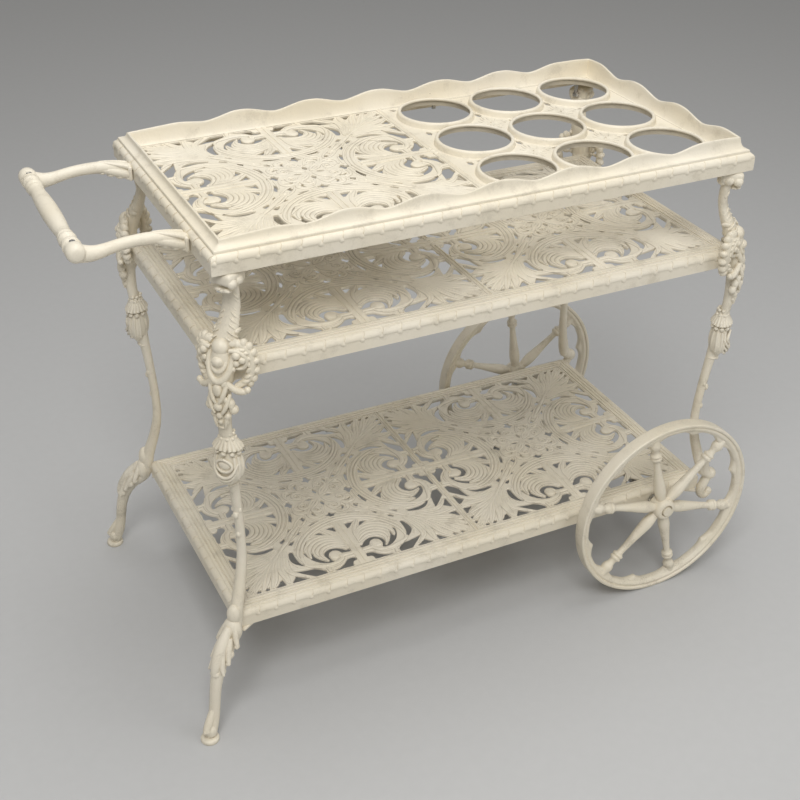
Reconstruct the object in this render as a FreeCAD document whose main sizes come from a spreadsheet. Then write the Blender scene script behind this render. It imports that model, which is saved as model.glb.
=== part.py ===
import FreeCAD, Part
import math
import os

import Sketcher

# Bar cart in painted cast aluminium, in millimetres.
# +X runs from the handle end to the wheel end, +Y to the back, +Z up from the ground.

doc = FreeCAD.newDocument("bar_cart")
sizes = doc.addObject("Spreadsheet::Sheet", "sizes")
places = doc.addObject("Spreadsheet::Sheet", "places")
vector = FreeCAD.Vector

# Driving dimensions, one plain number each.
SIZES = (
    ("tray_length", 780),
    ("tray_width", 408),
    ("shelf_setback", 3),
    ("lower_bay", 392),
    ("upper_bay", 144),
    ("border_width", 24),
    ("fascia_height", 20),
    ("fascia_wall", 4),
    ("bead_step", 2),
    ("bead_rise", 7),
    ("bead_radius", 6),
    ("border_thickness", 11),
    ("shelf_seat", 20),
    ("tray_seat", 13),
    ("seat_web", 4),
    ("ledge_width", 6),
    ("ledge_thickness", 4),
    ("rib_width", 14),
    ("panel_thickness", 5),
    ("panel_clearance", 0.2),
    ("gallery_inset", 12),
    ("gallery_wall", 3.5),
    ("gallery_peak", 46),
    ("gallery_dip", 37),
    ("gallery_pitch", 105),
    ("gallery_scallop", 88),
    ("ring_side_margin", 3),
    ("ring_end_margin", 6),
    ("ring_gap", 2),
    ("ring_wall", 8),
    ("ring_rise", 9),
    ("scroll_spread", 40),
    ("scroll_depth", 47),
    ("scroll_radius", 22),
    ("scroll_slot", 6),
    ("arch_radius", 90),
    ("arch_slot", 5),
    ("palmette_inset", 38),
    ("palmette_radius", 9),
    ("rosette_spread", 22),
    ("rosette_radius", 5),
    ("panel_screw_spread", 90),
    ("panel_screw_radius", 2),
    ("panel_screw_bite", 3),
    ("panel_screw_head_radius", 3.5),
    ("panel_screw_head_height", 2.5),
    ("leg_angle", 31),
    ("leg_seat_middle", 14),
    ("leg_seat_bottom", 10),
    ("cap_reach", 62),
    ("cap_front", 12),
    ("lug_reach", 58),
    ("lug_width", 26),
    ("lug_thickness", 6),
    ("tray_bolt_reach", 50),
    ("shelf_bolt_reach", 46),
    ("boss_radius", 7),
    ("leg_bolt_radius", 3),
    ("leg_bolt_bite", 9),
    ("leg_bolt_head_radius", 5.5),
    ("leg_bolt_head_height", 4),
    ("thread_clearance", 0.05),
    ("hole_runout", 1),
    ("weld", 1),
    ("hole_clearance", 0.3),
    ("foot_reach", 69),
    ("foot_radius", 13),
    ("foot_thickness", 6),
    ("corner_ball_radius", 11),
    ("volute_radius", 9.5),
    ("volute_width", 13),
    ("volute_reach", 7),
    ("volute_drop", 8),
    ("volute_lift", 36),
    ("handle_reach", 132),
    ("handle_height", 22),
    ("handle_spread", 236),
    ("arm_pad_width", 30),
    ("arm_pad_thickness", 7),
    ("arm_root_height", 10),
    ("elbow_length", 28),
    ("grip_radius", 12),
    ("grip_neck_radius", 8),
    ("grip_collar_radius", 11),
    ("grip_waist_radius", 9),
    ("grip_belly_radius", 11.5),
    ("grip_collar_length", 8),
    ("grip_neck_place", 12),
    ("grip_bead_place", 20),
    ("grip_waist_place", 28),
    ("spigot_radius", 6),
    ("spigot_length", 12),
    ("grip_screw_radius", 2),
    ("grip_screw_head_radius", 3.5),
    ("grip_screw_head_height", 3),
    ("grip_screw_seat", 7.5),
    ("handle_bolt_radius", 3),
    ("handle_bolt_bite", 14),
    ("wheel_radius", 151.5),
    ("axle_inset", 3.5),
    ("axle_end_inset", 89),
    ("axle_radius", 6),
    ("axle_slot_clearance", 1.5),
    ("running_clearance", 0.06),
    ("rim_width", 20.5),
    ("rim_depth", 8.5),
    ("lip_width", 12),
    ("lip_depth", 6.5),
    ("cusp_width", 26),
    ("cusp_height", 7),
    ("hub_radius", 17),
    ("hub_length", 29),
    ("hub_round", 5),
    ("spoke_root_radius", 8.5),
    ("spoke_root_length", 6),
    ("spoke_waist_radius", 6),
    ("spoke_knop_radius", 9),
    ("spoke_knop_length", 8),
    ("spoke_knop_inset", 34),
    ("spoke_bulb_inset", 16),
    ("spoke_bulb_radius", 8.5),
    ("front_wheel_turn", -14),
    ("back_wheel_turn", -8),
    ("side_play", 0.3),
    ("spacer_length", 7.2),
    ("spacer_radius", 10),
    ("cap_recess", 5),
    ("cap_radius", 7.5),
    ("cap_recess_clearance", 0.8),
    ("cap_proud", 1.5),
    ("cap_socket", 4),
    ("bracket_length", 40),
    ("bracket_width", 14),
    ("bracket_skirt_gap", 1),
    ("bracket_floor", 11),
    ("bracket_bolt_spread", 26),
    ("bracket_bolt_radius", 2.5),
    ("bracket_bolt_bite", 8),
    ("bracket_bolt_head_radius", 4.5),
    ("bracket_bolt_head_height", 3.5),
)

# Values worked out from the driving dimensions.
PLACES = (
    ("bottom_level", "sizes.wheel_radius - sizes.axle_inset"),
    ("middle_level", "places.bottom_level + sizes.lower_bay"),
    ("tray_level", "places.middle_level + sizes.upper_bay"),
    ("shelf_length", "sizes.tray_length - 2 * sizes.shelf_setback"),
    ("shelf_width", "sizes.tray_width - 2 * sizes.shelf_setback"),
    ("tray_tile_length", "sizes.tray_length / 2 - sizes.border_width"),
    ("tray_tile_width", "sizes.tray_width - 2 * sizes.border_width"),
    ("shelf_tile_length", "places.shelf_length / 2 - sizes.border_width"),
    ("shelf_tile_width", "places.shelf_width - 2 * sizes.border_width"),
    ("handle_end", "sizes.tray_length / 2 + sizes.handle_reach"),
    ("axle_offset", "sizes.tray_length / 2 - sizes.axle_end_inset"),
    ("wheel_end", "places.axle_offset + sizes.wheel_radius"),
    ("tray_x", "(places.handle_end + sizes.grip_radius - places.wheel_end) / 2"),
    ("axle_x", "places.tray_x + places.axle_offset"),
    ("bead_top", "sizes.fascia_height + sizes.bead_rise"),
    ("border_bottom", "places.bead_top - sizes.border_thickness"),
    ("shelf_ledge", "sizes.shelf_seat - sizes.ledge_thickness"),
    ("tray_ledge", "sizes.tray_seat - sizes.ledge_thickness"),
    ("leg_cos", "cos(sizes.leg_angle)"),
    ("leg_sin", "sin(sizes.leg_angle)"),
    ("tray_bolt_x", "sizes.tray_length / 2 - sizes.tray_bolt_reach * places.leg_cos"),
    ("tray_bolt_y", "sizes.tray_width / 2 - sizes.tray_bolt_reach * places.leg_sin"),
    ("shelf_bolt_x", "sizes.tray_length / 2 - sizes.shelf_bolt_reach * places.leg_cos"),
    ("shelf_bolt_y", "sizes.tray_width / 2 - sizes.shelf_bolt_reach * places.leg_sin"),
    ("bottle_pitch_x", "(places.tray_tile_length - 2 * sizes.ring_end_margin) / 3"),
    ("bottle_pitch_y", "(places.tray_tile_width - 2 * sizes.ring_side_margin) / 3"),
    ("ring_radius", "(min(places.bottle_pitch_x; places.bottle_pitch_y) - sizes.ring_gap) / 2"),
    ("bottle_radius", "places.ring_radius - sizes.ring_wall"),
    ("hub_inner", "places.shelf_width / 2 + sizes.spacer_length + 2 * sizes.side_play"),
    ("hub_outer", "places.hub_inner + sizes.hub_length"),
    ("wheel_mid", "(places.hub_inner + places.hub_outer) / 2"),
    ("cap_inner", "places.hub_outer - sizes.cap_recess + sizes.side_play"),
    ("cap_outer", "places.hub_outer + sizes.cap_proud"),
    ("axle_end", "places.cap_inner + sizes.cap_socket"),
    ("bracket_outer", "places.shelf_width / 2 - sizes.fascia_wall - sizes.bracket_skirt_gap"),
    ("bracket_mid", "places.bracket_outer - sizes.bracket_width / 2"),
    ("grip_half", "sizes.handle_spread / 2 - sizes.elbow_length / 2"),
    ("grip_x", "places.tray_x - places.handle_end"),
    ("grip_z", "places.tray_level + sizes.handle_height"),
)


def fill(sheet, rows, mark):
    """Writes named rows to a sheet, each value under its own alias."""
    for row, (name, value) in enumerate(rows, 1):
        sheet.set("A%d" % row, name)
        sheet.set("B%d" % row, mark + str(value))
        sheet.setAlias("B%d" % row, name)
        if mark:
            doc.recompute()


def number(name):
    """A size or place as a plain number, for shapes made by formula."""
    sheet = sizes if name in dict(SIZES) else places
    return float(sheet.get(name))


def bind(thing, **expressions):
    """Binds properties of an object to sheet expressions."""
    for name, expression in expressions.items():
        thing.setExpression(name, expression)
    return thing


def put(thing, across="0", along="0", up="0", rotation=None):
    """Places an object at bound coordinates, turned by a fixed rotation."""
    if rotation is not None:
        thing.Placement = FreeCAD.Placement(vector(0, 0, 0), rotation)
    for axis, expression in zip("xyz", (across, along, up)):
        thing.setExpression("Placement.Base." + axis, expression)
    return thing


def solid(kind, name, **expressions):
    """A Part primitive whose sizes are bound to the sheets."""
    return bind(doc.addObject(kind, name), **expressions)


def combine(kind, label, pieces):
    """A fuse or compound of several objects."""
    result = doc.addObject(kind, label)
    if kind == "Part::Compound":
        result.Links = pieces
    else:
        result.Shapes = pieces
    return result


def cut(label, base, tool):
    """One object cut by another."""
    result = doc.addObject("Part::Cut", label)
    result.Base = base
    result.Tool = tool
    return result


def mirrored(name, source, normal):
    """A mirror image through the origin."""
    image = doc.addObject("Part::Mirroring", name)
    image.Source = source
    image.Normal = normal
    return image


# Counts of the repeated forms.
SIDE_DIPS = 6
END_DIPS = 3
SPOKES = 6

UPRIGHT = FreeCAD.Rotation()
ALONG_BACK = FreeCAD.Rotation(vector(1, 0, 0), -90)


def origin_part(body, role):
    """A body's own origin plane or axis."""
    return [part for part in body.Origin.OriginFeatures if part.Role == role][0]


def sketch_on(body, name, plane, lift=None):
    """A sketch on one of the body's origin planes, lifted off it where asked."""
    sketch = body.newObject("Sketcher::SketchObject", name)
    sketch.AttachmentSupport = [(origin_part(body, plane), "")]
    sketch.MapMode = "FlatFace"
    if lift is not None:
        sketch.setExpression("AttachmentOffset.Base.z", lift)
    return sketch


def fix(sketch, kind, geometry, point, expression):
    """A bound distance from the sketch's origin, or a bound radius."""
    if kind == "Radius":
        constraint = Sketcher.Constraint(kind, geometry, 1.0)
    else:
        constraint = Sketcher.Constraint(kind, -1, 1, geometry, point, 1.0)
    index = sketch.addConstraint(constraint)
    sketch.setExpression("Constraints[%d]" % index, expression)


def outline(sketch, corners):
    """A closed outline of straight lines through bound corners."""
    first = sketch.GeometryCount
    count = len(corners)
    angles = [2 * math.pi * i / count for i in range(count)]
    start = [vector(math.cos(angle), math.sin(angle), 0) for angle in angles]
    for i in range(count):
        sketch.addGeometry(Part.LineSegment(start[i], start[(i + 1) % count]), False)
    for i in range(count):
        sketch.addConstraint(Sketcher.Constraint("Coincident", first + i, 2, first + (i + 1) % count, 1))
    for i, (across, up) in enumerate(corners):
        fix(sketch, "DistanceX", first + i, 1, across)
        fix(sketch, "DistanceY", first + i, 1, up)
    return sketch


def circle(sketch, across, up, radius):
    """A bound circle."""
    index = sketch.addGeometry(Part.Circle(vector(1, 1, 0), vector(0, 0, 1), 1.0), False)
    fix(sketch, "DistanceX", index, 3, across)
    fix(sketch, "DistanceY", index, 3, up)
    fix(sketch, "Radius", index, 0, radius)
    return sketch


def rectangle(sketch, left, right, low, high):
    """A bound upright rectangle."""
    return outline(sketch, ((left, low), (right, low), (right, high), (left, high)))


def pad(body, sketch, length, midplane=False):
    """A pad of bound length."""
    feature = body.newObject("PartDesign::Pad", sketch.Name + "_pad")
    feature.Profile = sketch
    feature.Midplane = midplane
    return bind(feature, Length=length)


def pocket(body, sketch, length=None, reverse=False, midplane=False):
    """A pocket of bound length, or through everything; it has to take material away."""
    doc.recompute()
    before = body.Shape.Volume
    feature = body.newObject("PartDesign::Pocket", sketch.Name + "_pocket")
    feature.Profile = sketch
    feature.Reversed = reverse
    feature.Midplane = midplane
    if length is None:
        feature.Type = "ThroughAll"
    else:
        bind(feature, Length=length)
    doc.recompute()
    if body.Shape.Volume >= before:
        raise RuntimeError("pocket cut nothing: " + feature.Name)
    return feature


def turned(body, sketch, axis):
    """A full turn of a sketch about one of the body's axes."""
    feature = body.newObject("PartDesign::Revolution", sketch.Name + "_turn")
    feature.Profile = sketch
    feature.ReferenceAxis = (origin_part(body, axis), [""])
    feature.Angle = 360
    return feature


def around(body, feature, axis, count):
    """Copies of a feature evenly spaced about an axis."""
    pattern = body.newObject("PartDesign::PolarPattern", feature.Name + "_around")
    pattern.Originals = [feature]
    pattern.Axis = (origin_part(body, axis), [""])
    pattern.Angle = 360
    pattern.Occurrences = count
    body.Tip = pattern
    return pattern


def along(body, feature, axis, count, length):
    """Copies of a feature in a row along an axis."""
    pattern = body.newObject("PartDesign::LinearPattern", feature.Name + "_row")
    pattern.Originals = [feature]
    pattern.Direction = (origin_part(body, axis), [""])
    pattern.Occurrences = count
    bind(pattern, Length=length)
    body.Tip = pattern
    return pattern


def new_body(label):
    """An empty part design body, named for its piece."""
    body = doc.addObject("PartDesign::Body", label)
    body.Label = label
    return body


def four(across, up):
    """The four signed pairs of two expressions."""
    return [(a + across, b + up) for a in ("", "0 - ") for b in ("", "0 - ")]


# The moulded border frames of the tray and the two shelves.

def moulded_frame(label, length, width, level, seat):
    """A fascia, bead and panel ledge swept round a rectangle, with a rib under the panel seam."""
    body = put(new_body(label), "places.tray_x", "0", level)
    half_length = "(%s / 2)" % length
    half_width = "(%s / 2)" % width
    near = "0 - " + half_width
    inner = near + " + sizes.border_width"
    ledge = "(%s - sizes.ledge_thickness)" % seat
    section = sketch_on(body, label + "_section", "YZ_Plane")
    outline(section, (
        (near, "0"),
        (near, "sizes.fascia_height"),
        (near + " + sizes.bead_step", "sizes.fascia_height"),
        (near + " + sizes.bead_step", "places.bead_top"),
        (inner, "places.bead_top"),
        (inner, seat),
        (inner + " + sizes.ledge_width", seat),
        (inner + " + sizes.ledge_width", ledge),
        (inner + " - sizes.seat_web", ledge),
        (inner + " - 2 * sizes.seat_web", "places.border_bottom"),
        (near + " + sizes.fascia_wall", "places.border_bottom"),
        (near + " + sizes.fascia_wall", "0"),
    ))
    path = sketch_on(body, label + "_path", "XY_Plane")
    outline(path, (
        ("0", near),
        (half_length, near),
        (half_length, half_width),
        ("0 - " + half_length, half_width),
        ("0 - " + half_length, near),
    ))
    sweep = body.newObject("PartDesign::AdditivePipe", label + "_moulding")
    sweep.Profile = section
    sweep.Spine = (path, ["Edge%d" % (i + 1) for i in range(5)])
    sweep.Transition = "Right corner"
    doc.recompute()
    round_bead(body, sweep)
    rib = sketch_on(body, label + "_rib", "XY_Plane", ledge)
    rib_reach = "(%s - sizes.border_width)" % half_width
    half_rib = "sizes.rib_width / 2"
    rectangle(rib, "0 - " + half_rib, half_rib, "0 - " + rib_reach, rib_reach)
    pad(body, rib, "sizes.ledge_thickness")
    return body


def round_bead(body, sweep):
    """Rounds the four outer top edges of the border into a bead."""
    top = number("bead_top")
    box = sweep.Shape.BoundBox
    reach = (box.XMax - number("bead_step"), box.YMax - number("bead_step"))
    names = []
    for index, edge in enumerate(sweep.Shape.Edges, 1):
        ends = [vertex.Point for vertex in edge.Vertexes]
        at_top = all(abs(end.z - top) < 0.01 for end in ends)
        outside = any(all(abs(abs(end[axis]) - reach[axis]) < 0.01 for end in ends) for axis in (0, 1))
        if at_top and outside:
            names.append("Edge%d" % index)
    bead = body.newObject("PartDesign::Fillet", body.Label + "_bead")
    bead.Base = (sweep, names)
    bind(bead, Radius="sizes.bead_radius")


def leg_bosses(body, bolt_x, bolt_y, ledge):
    """Four bosses inside the fascia, each with a tapped hole for a leg bolt."""
    bosses = sketch_on(body, body.Label + "_bosses", "XY_Plane")
    holes = sketch_on(body, body.Label + "_boss_holes", "XY_Plane")
    for across, up in four(bolt_x, bolt_y):
        circle(bosses, across, up, "sizes.boss_radius")
        circle(holes, across, up, "sizes.leg_bolt_radius + sizes.thread_clearance")
    pad(body, bosses, ledge + " + sizes.weld")
    pocket(body, holes, "sizes.leg_bolt_bite + sizes.hole_runout", reverse=True)


def panel_screw_holes(body, tile_length, width, ledge):
    """Screw holes through the ledge, four under each panel."""
    holes = sketch_on(body, body.Label + "_screw_holes", "XY_Plane", ledge)
    row = "(%s / 2 - sizes.border_width - sizes.ledge_width / 2)" % width
    for centre in (tile_length + " / 2", "0 - %s / 2" % tile_length):
        for side in (" + ", " - "):
            for sign in ("", "0 - "):
                across = centre + side + "sizes.panel_screw_spread"
                circle(holes, across, sign + row, "sizes.panel_screw_radius + sizes.hole_clearance")
    pocket(body, holes, "sizes.ledge_thickness", reverse=True)


def leg_corners(body, seat):
    """Cuts each shelf corner square to its leg, at the leg's seat."""
    corners = sketch_on(body, body.Label + "_corners", "XY_Plane")
    depth = "(%s - sizes.shelf_setback * (places.leg_cos + places.leg_sin))" % seat
    x = "places.shelf_length / 2"
    y = "places.shelf_width / 2"
    back_x = "%s - %s / places.leg_cos" % (x, depth)
    back_y = "%s - %s / places.leg_sin" % (y, depth)
    for i in ("", "0 - "):
        for j in ("", "0 - "):
            points = ((i + x, j + y), (i + "(%s)" % back_x, j + y), (i + x, j + "(%s)" % back_y))
            outline(corners, points)
    pocket(body, corners, reverse=True)


def gallery(body):
    """A thin wall round the tray: scalloped on three sides, low and straight at the handle end."""
    outer_x = "(sizes.tray_length / 2 - sizes.gallery_inset)"
    outer_y = "(sizes.tray_width / 2 - sizes.gallery_inset)"
    inner_x = "(%s - sizes.gallery_wall)" % outer_x
    inner_y = "(%s - sizes.gallery_wall)" % outer_y
    base = sketch_on(body, "gallery_base", "XY_Plane", "places.bead_top - sizes.weld")
    rectangle(base, "0 - " + outer_x, outer_x, "0 - " + outer_y, outer_y)
    rectangle(base, "0 - " + inner_x, inner_x, "0 - " + inner_y, inner_y)
    pad(body, base, "sizes.gallery_dip - places.bead_top + sizes.weld")
    crest = sketch_on(body, "gallery_crest", "XY_Plane", "sizes.gallery_dip")
    outline(crest, (
        ("0 - " + outer_x, "0 - " + outer_y),
        (outer_x, "0 - " + outer_y),
        (outer_x, outer_y),
        ("0 - " + outer_x, outer_y),
        ("0 - " + outer_x, inner_y),
        (inner_x, inner_y),
        (inner_x, "0 - " + inner_y),
        ("0 - " + outer_x, "0 - " + inner_y),
    ))
    pad(body, crest, "sizes.gallery_peak - sizes.gallery_dip")
    rise = "(sizes.gallery_peak - sizes.gallery_dip)"
    radius = "((sizes.gallery_scallop / 2)^2 + %s^2) / (2 * %s)" % (rise, rise)
    height = "sizes.gallery_dip + " + radius
    side = sketch_on(body, "side_scallop", "XZ_Plane")
    circle(side, "0 - sizes.gallery_pitch * %g" % ((SIDE_DIPS - 1) / 2), height, radius)
    side_run = "sizes.gallery_pitch * %d" % (SIDE_DIPS - 1)
    along(body, pocket(body, side, midplane=True), "X_Axis", SIDE_DIPS, side_run)
    end = sketch_on(body, "end_scallop", "YZ_Plane")
    circle(end, "0 - sizes.gallery_pitch * %g" % ((END_DIPS - 1) / 2), height, radius)
    end_run = "sizes.gallery_pitch * %d" % (END_DIPS - 1)
    along(body, pocket(body, end, reverse=True), "Y_Axis", END_DIPS, end_run)


def tray_frame():
    """The tray's border with its gallery, leg bosses and handle bolt holes."""
    size = ("sizes.tray_length", "sizes.tray_width")
    body = moulded_frame("tray_frame", *size, "places.tray_level", "sizes.tray_seat")
    leg_bosses(body, "places.tray_bolt_x", "places.tray_bolt_y", "places.tray_ledge")
    panel_screw_holes(body, "places.tray_tile_length", "sizes.tray_width", "places.tray_ledge")
    gallery(body)
    holes = sketch_on(body, "handle_bolt_holes", "YZ_Plane")
    for sign in ("", "0 - "):
        radius = "sizes.handle_bolt_radius + sizes.hole_clearance"
        circle(holes, sign + "sizes.handle_spread / 2", "sizes.arm_root_height", radius)
    pocket(body, holes)
    return body


def shelf_frame(label, level, seat):
    """A shelf's border with leg bosses and cut corners."""
    size = ("places.shelf_length", "places.shelf_width")
    body = moulded_frame(label, *size, level, "sizes.shelf_seat")
    leg_bosses(body, "places.shelf_bolt_x", "places.shelf_bolt_y", "places.shelf_ledge")
    panel_screw_holes(body, "places.shelf_tile_length", "places.shelf_width", "places.shelf_ledge")
    leg_corners(body, seat)
    return body


def bottom_frame():
    """The bottom shelf's border, notched for the axle and drilled for its brackets."""
    body = shelf_frame("bottom_frame", "places.bottom_level", "sizes.leg_seat_bottom")
    notch = sketch_on(body, "axle_notch", "XZ_Plane")
    circle(notch, "places.axle_offset", "sizes.axle_inset", "sizes.axle_radius + sizes.axle_slot_clearance")
    pocket(body, notch, midplane=True)
    holes = sketch_on(body, "bracket_holes", "XY_Plane", "places.border_bottom")
    for side in (" + ", " - "):
        for sign in ("", "0 - "):
            across = "places.axle_offset" + side + "sizes.bracket_bolt_spread / 2"
            radius = "sizes.bracket_bolt_radius + sizes.thread_clearance"
            circle(holes, across, sign + "places.bracket_mid", radius)
    pocket(body, holes, "sizes.bracket_bolt_bite + sizes.hole_runout", reverse=True)
    return body


# The pierced panels: where the tray's sit, and the start and sweep in degrees of their curved slots.

TRAY_SEAT = "places.tray_level + sizes.tray_seat"
SCROLL_ARC = (20, 190)
ARCH_ARC = (-78, 50)


def swapped(arc):
    """An arc mirrored across the panel's diagonal."""
    start, sweep = arc
    return 90 - start - sweep, sweep


def arc_slot(name, across, up, outer, slot, start, sweep):
    """A curved slot: part of a ring about a point, as a cutter through a panel."""
    depth = "3 * sizes.panel_thickness"
    disc = solid("Part::Cylinder", name + "_disc", Radius=outer, Height=depth)
    disc.Angle = sweep
    core = solid("Part::Cylinder", name + "_core", Radius="%s - %s" % (outer, slot), Height=depth)
    turn = FreeCAD.Rotation(vector(0, 0, 1), start)
    put(disc, across, up, "0 - sizes.panel_thickness", turn)
    put(core, across, up, "0 - sizes.panel_thickness")
    return cut(name, disc, core)


def plate(label, tile_length, tile_width):
    """A panel's flat plate, centred on its tile."""
    length = "%s - 2 * sizes.panel_clearance" % tile_length
    width = "%s - 2 * sizes.panel_clearance" % tile_width
    sheet = solid("Part::Box", label + "_plate", Length=length, Width=width, Height="sizes.panel_thickness")
    return put(sheet, "0 - (%s) / 2" % length, "0 - (%s) / 2" % width)


def panel_screw_bore(label, tile_width):
    """A blind screw hole in a panel's underside, over the ledge."""
    radius = "sizes.panel_screw_radius + sizes.thread_clearance"
    depth = "sizes.panel_screw_bite + sizes.hole_runout"
    bore = solid("Part::Cylinder", label + "_screw_bore", Radius=radius, Height=depth)
    return put(bore, "sizes.panel_screw_spread", tile_width + " / 2 - sizes.ledge_width / 2")


def quartered(label, cutters):
    """Cutters of one quarter mirrored to all four quarters of a panel."""
    quarter = combine("Part::Compound", label + "_quarter", cutters)
    right = mirrored(label + "_right", quarter, vector(1, 0, 0))
    pair = combine("Part::Compound", label + "_pair", [quarter, right])
    back = mirrored(label + "_back", pair, vector(0, 1, 0))
    return combine("Part::Compound", label + "_four", [pair, back])


def scroll_panel(label, side, tile_length, tile_width, seat):
    """A panel pierced by scroll crescents, arches, palmettes and a centre rosette."""
    half_length = tile_length + " / 2"
    half_width = tile_width + " / 2"
    scroll = ("sizes.scroll_radius", "sizes.scroll_slot")
    arch = ("sizes.arch_radius", "sizes.arch_slot")
    side_spot = ("sizes.scroll_spread", half_width + " - sizes.scroll_depth")
    end_spot = (half_length + " - sizes.scroll_depth", "sizes.scroll_spread")
    cutters = [
        arc_slot(label + "_side_scroll", *side_spot, *scroll, *SCROLL_ARC),
        arc_slot(label + "_end_scroll", *end_spot, *scroll, *swapped(SCROLL_ARC)),
        arc_slot(label + "_side_arch", "0", half_width, *arch, *ARCH_ARC),
        arc_slot(label + "_end_arch", half_length, "0", *arch, *swapped(ARCH_ARC)),
        panel_screw_bore(label, tile_width),
    ]
    depth = "3 * sizes.panel_thickness"
    palmette = solid("Part::Prism", label + "_palmette", Circumradius="sizes.palmette_radius", Height=depth)
    palmette.Polygon = 3
    inset = " - sizes.palmette_inset"
    put(palmette, half_length + inset, half_width + inset, "0 - sizes.panel_thickness",
        FreeCAD.Rotation(vector(0, 0, 1), 45))
    rosette = solid("Part::Cylinder", label + "_rosette", Radius="sizes.rosette_radius", Height=depth)
    put(rosette, "sizes.rosette_spread", "sizes.rosette_spread", "0 - sizes.panel_thickness")
    tool = quartered(label, cutters + [palmette, rosette])
    panel = cut(label, plate(label, tile_length, tile_width), tool)
    return put(panel, "places.tray_x %s %s" % (side, half_length), "0", seat)


def bottle_panel():
    """The tray's bottle panel: nine openings in raised rings."""
    label = "tray_bottle_panel"
    tile_length = "places.tray_tile_length"
    tile_width = "places.tray_tile_width"
    rings = []
    bores = []
    for column in (-1, 0, 1):
        for row in (-1, 0, 1):
            name = "%s_%d_%d" % (label, column + 1, row + 1)
            spot = ("places.bottle_pitch_x * %d" % column, "places.bottle_pitch_y * %d" % row)
            ring = solid("Part::Cylinder", name + "_ring", Radius="places.ring_radius",
                         Height="sizes.panel_thickness + sizes.ring_rise")
            bore = solid("Part::Cylinder", name + "_bore", Radius="places.bottle_radius",
                         Height="3 * sizes.panel_thickness + sizes.ring_rise")
            rings.append(put(ring, *spot))
            bores.append(put(bore, *spot, "0 - sizes.panel_thickness"))
    blank = combine("Part::MultiFuse", label + "_blank", [plate(label, tile_length, tile_width)] + rings)
    screws = quartered(label, [panel_screw_bore(label, tile_width)])
    panel = cut(label, blank, combine("Part::Compound", label + "_bores", bores + [screws]))
    return put(panel, "places.tray_x + %s / 2" % tile_length, "0", TRAY_SEAT)


# Screws and bolts.

def bolt(name, spot, radius, length, head_radius, head_height, rotation=UPRIGHT):
    """A hexagon bolt standing on its head's bearing face, its shank along +Z before it is turned."""
    shank = solid("Part::Cylinder", name + "_shank", Radius=radius, Height=length)
    head = solid("Part::Prism", name + "_head", Circumradius=head_radius, Height=head_height)
    head.Polygon = 6
    put(head, up="0 - " + head_height)
    return put(combine("Part::MultiFuse", name, [shank, head]), *spot, rotation)


def bolt_group(label, bolts):
    """Identical fasteners that share one node."""
    return combine("Part::Compound", label, bolts)


def leg_bolts(label, level, bolt_x, bolt_y):
    """One bolt up through each leg's lug into the frame's boss."""
    bolts = []
    for index, (across, up) in enumerate(four(bolt_x, bolt_y)):
        spot = ("places.tray_x + " + across, up, level + " - sizes.lug_thickness")
        bolts.append(bolt("%s_%d" % (label, index), spot, "sizes.leg_bolt_radius",
                          "sizes.lug_thickness + sizes.leg_bolt_bite",
                          "sizes.leg_bolt_head_radius", "sizes.leg_bolt_head_height"))
    return bolt_group(label, bolts)


def panel_screws(label, ledge, tile_length, tile_width):
    """Four screws up through the ledge into each of a frame's two panels."""
    screws = []
    row = "(%s / 2 - sizes.ledge_width / 2)" % tile_width
    for centre in ("+ %s / 2" % tile_length, "- %s / 2" % tile_length):
        for side in (" + ", " - "):
            for sign in ("", "0 - "):
                across = "places.tray_x " + centre + side + "sizes.panel_screw_spread"
                spot = (across, sign + row, ledge)
                screws.append(bolt("%s_%d" % (label, len(screws)), spot, "sizes.panel_screw_radius",
                                   "sizes.ledge_thickness + sizes.panel_screw_bite",
                                   "sizes.panel_screw_head_radius", "sizes.panel_screw_head_height"))
    return bolt_group(label, screws)


# Legs and handle arms: limbs lofted through circles along a curved centre line.

def limb(stations):
    """A smooth limb through (outward, height, radius) stations in the XZ plane."""
    points = [vector(outward, 0, height) for outward, height, radius in stations]
    rings = []
    for i, (outward, height, radius) in enumerate(stations):
        before = points[max(i - 1, 0)]
        after = points[min(i + 1, len(points) - 1)]
        rings.append(Part.Wire(Part.makeCircle(radius, points[i], after - before)))
    return Part.makeLoft(rings, True, False)


def block(left, right, width, low, high):
    """A box across the limb's plane."""
    return Part.makeBox(right - left, width, high - low, vector(left, -width / 2, low))


def leg_line():
    """The leg's stations from the tray to the bottom shelf, outward from the tray's corner."""
    tray = number("tray_level")
    middle = number("middle_level")
    bottom = number("bottom_level")
    return [
        (-30, tray - 2, 11),
        (-34, tray - 22, 9),
        (-39, tray - 48, 8.5),
        (-30, tray - 72, 11),
        (-17, tray - 92, 14),
        (-8, middle + 32, 16),
        (-4, middle + 5, 16.5),
        (-4, middle - 30, 14),
        (-8, middle - 70, 9.5),
        (-13, middle - 112, 8.5),
        (-16, middle - 140, 12),
        (-19, middle - 166, 8.5),
        (-24, bottom + 180, 8),
        (-27, bottom + 135, 8),
        (-25, bottom + 103, 8),
        (-14, bottom + 65, 8),
        (-2, bottom + 38, 9),
        (0, bottom + 14, 9.5),
    ]


def foot_line():
    """The stations of a handle-end leg below the bottom shelf, ending in its disc foot."""
    bottom = number("bottom_level")
    foot = number("foot_reach")
    return [
        (8, bottom - 4, 12),
        (26, bottom - 14, 11),
        (42, bottom - 38, 9.5),
        (foot - 18, 79, 8.5),
        (foot - 15, 48, 8),
        (foot - 9, 24, 8),
        (foot, number("foot_thickness"), 8),
    ]


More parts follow.
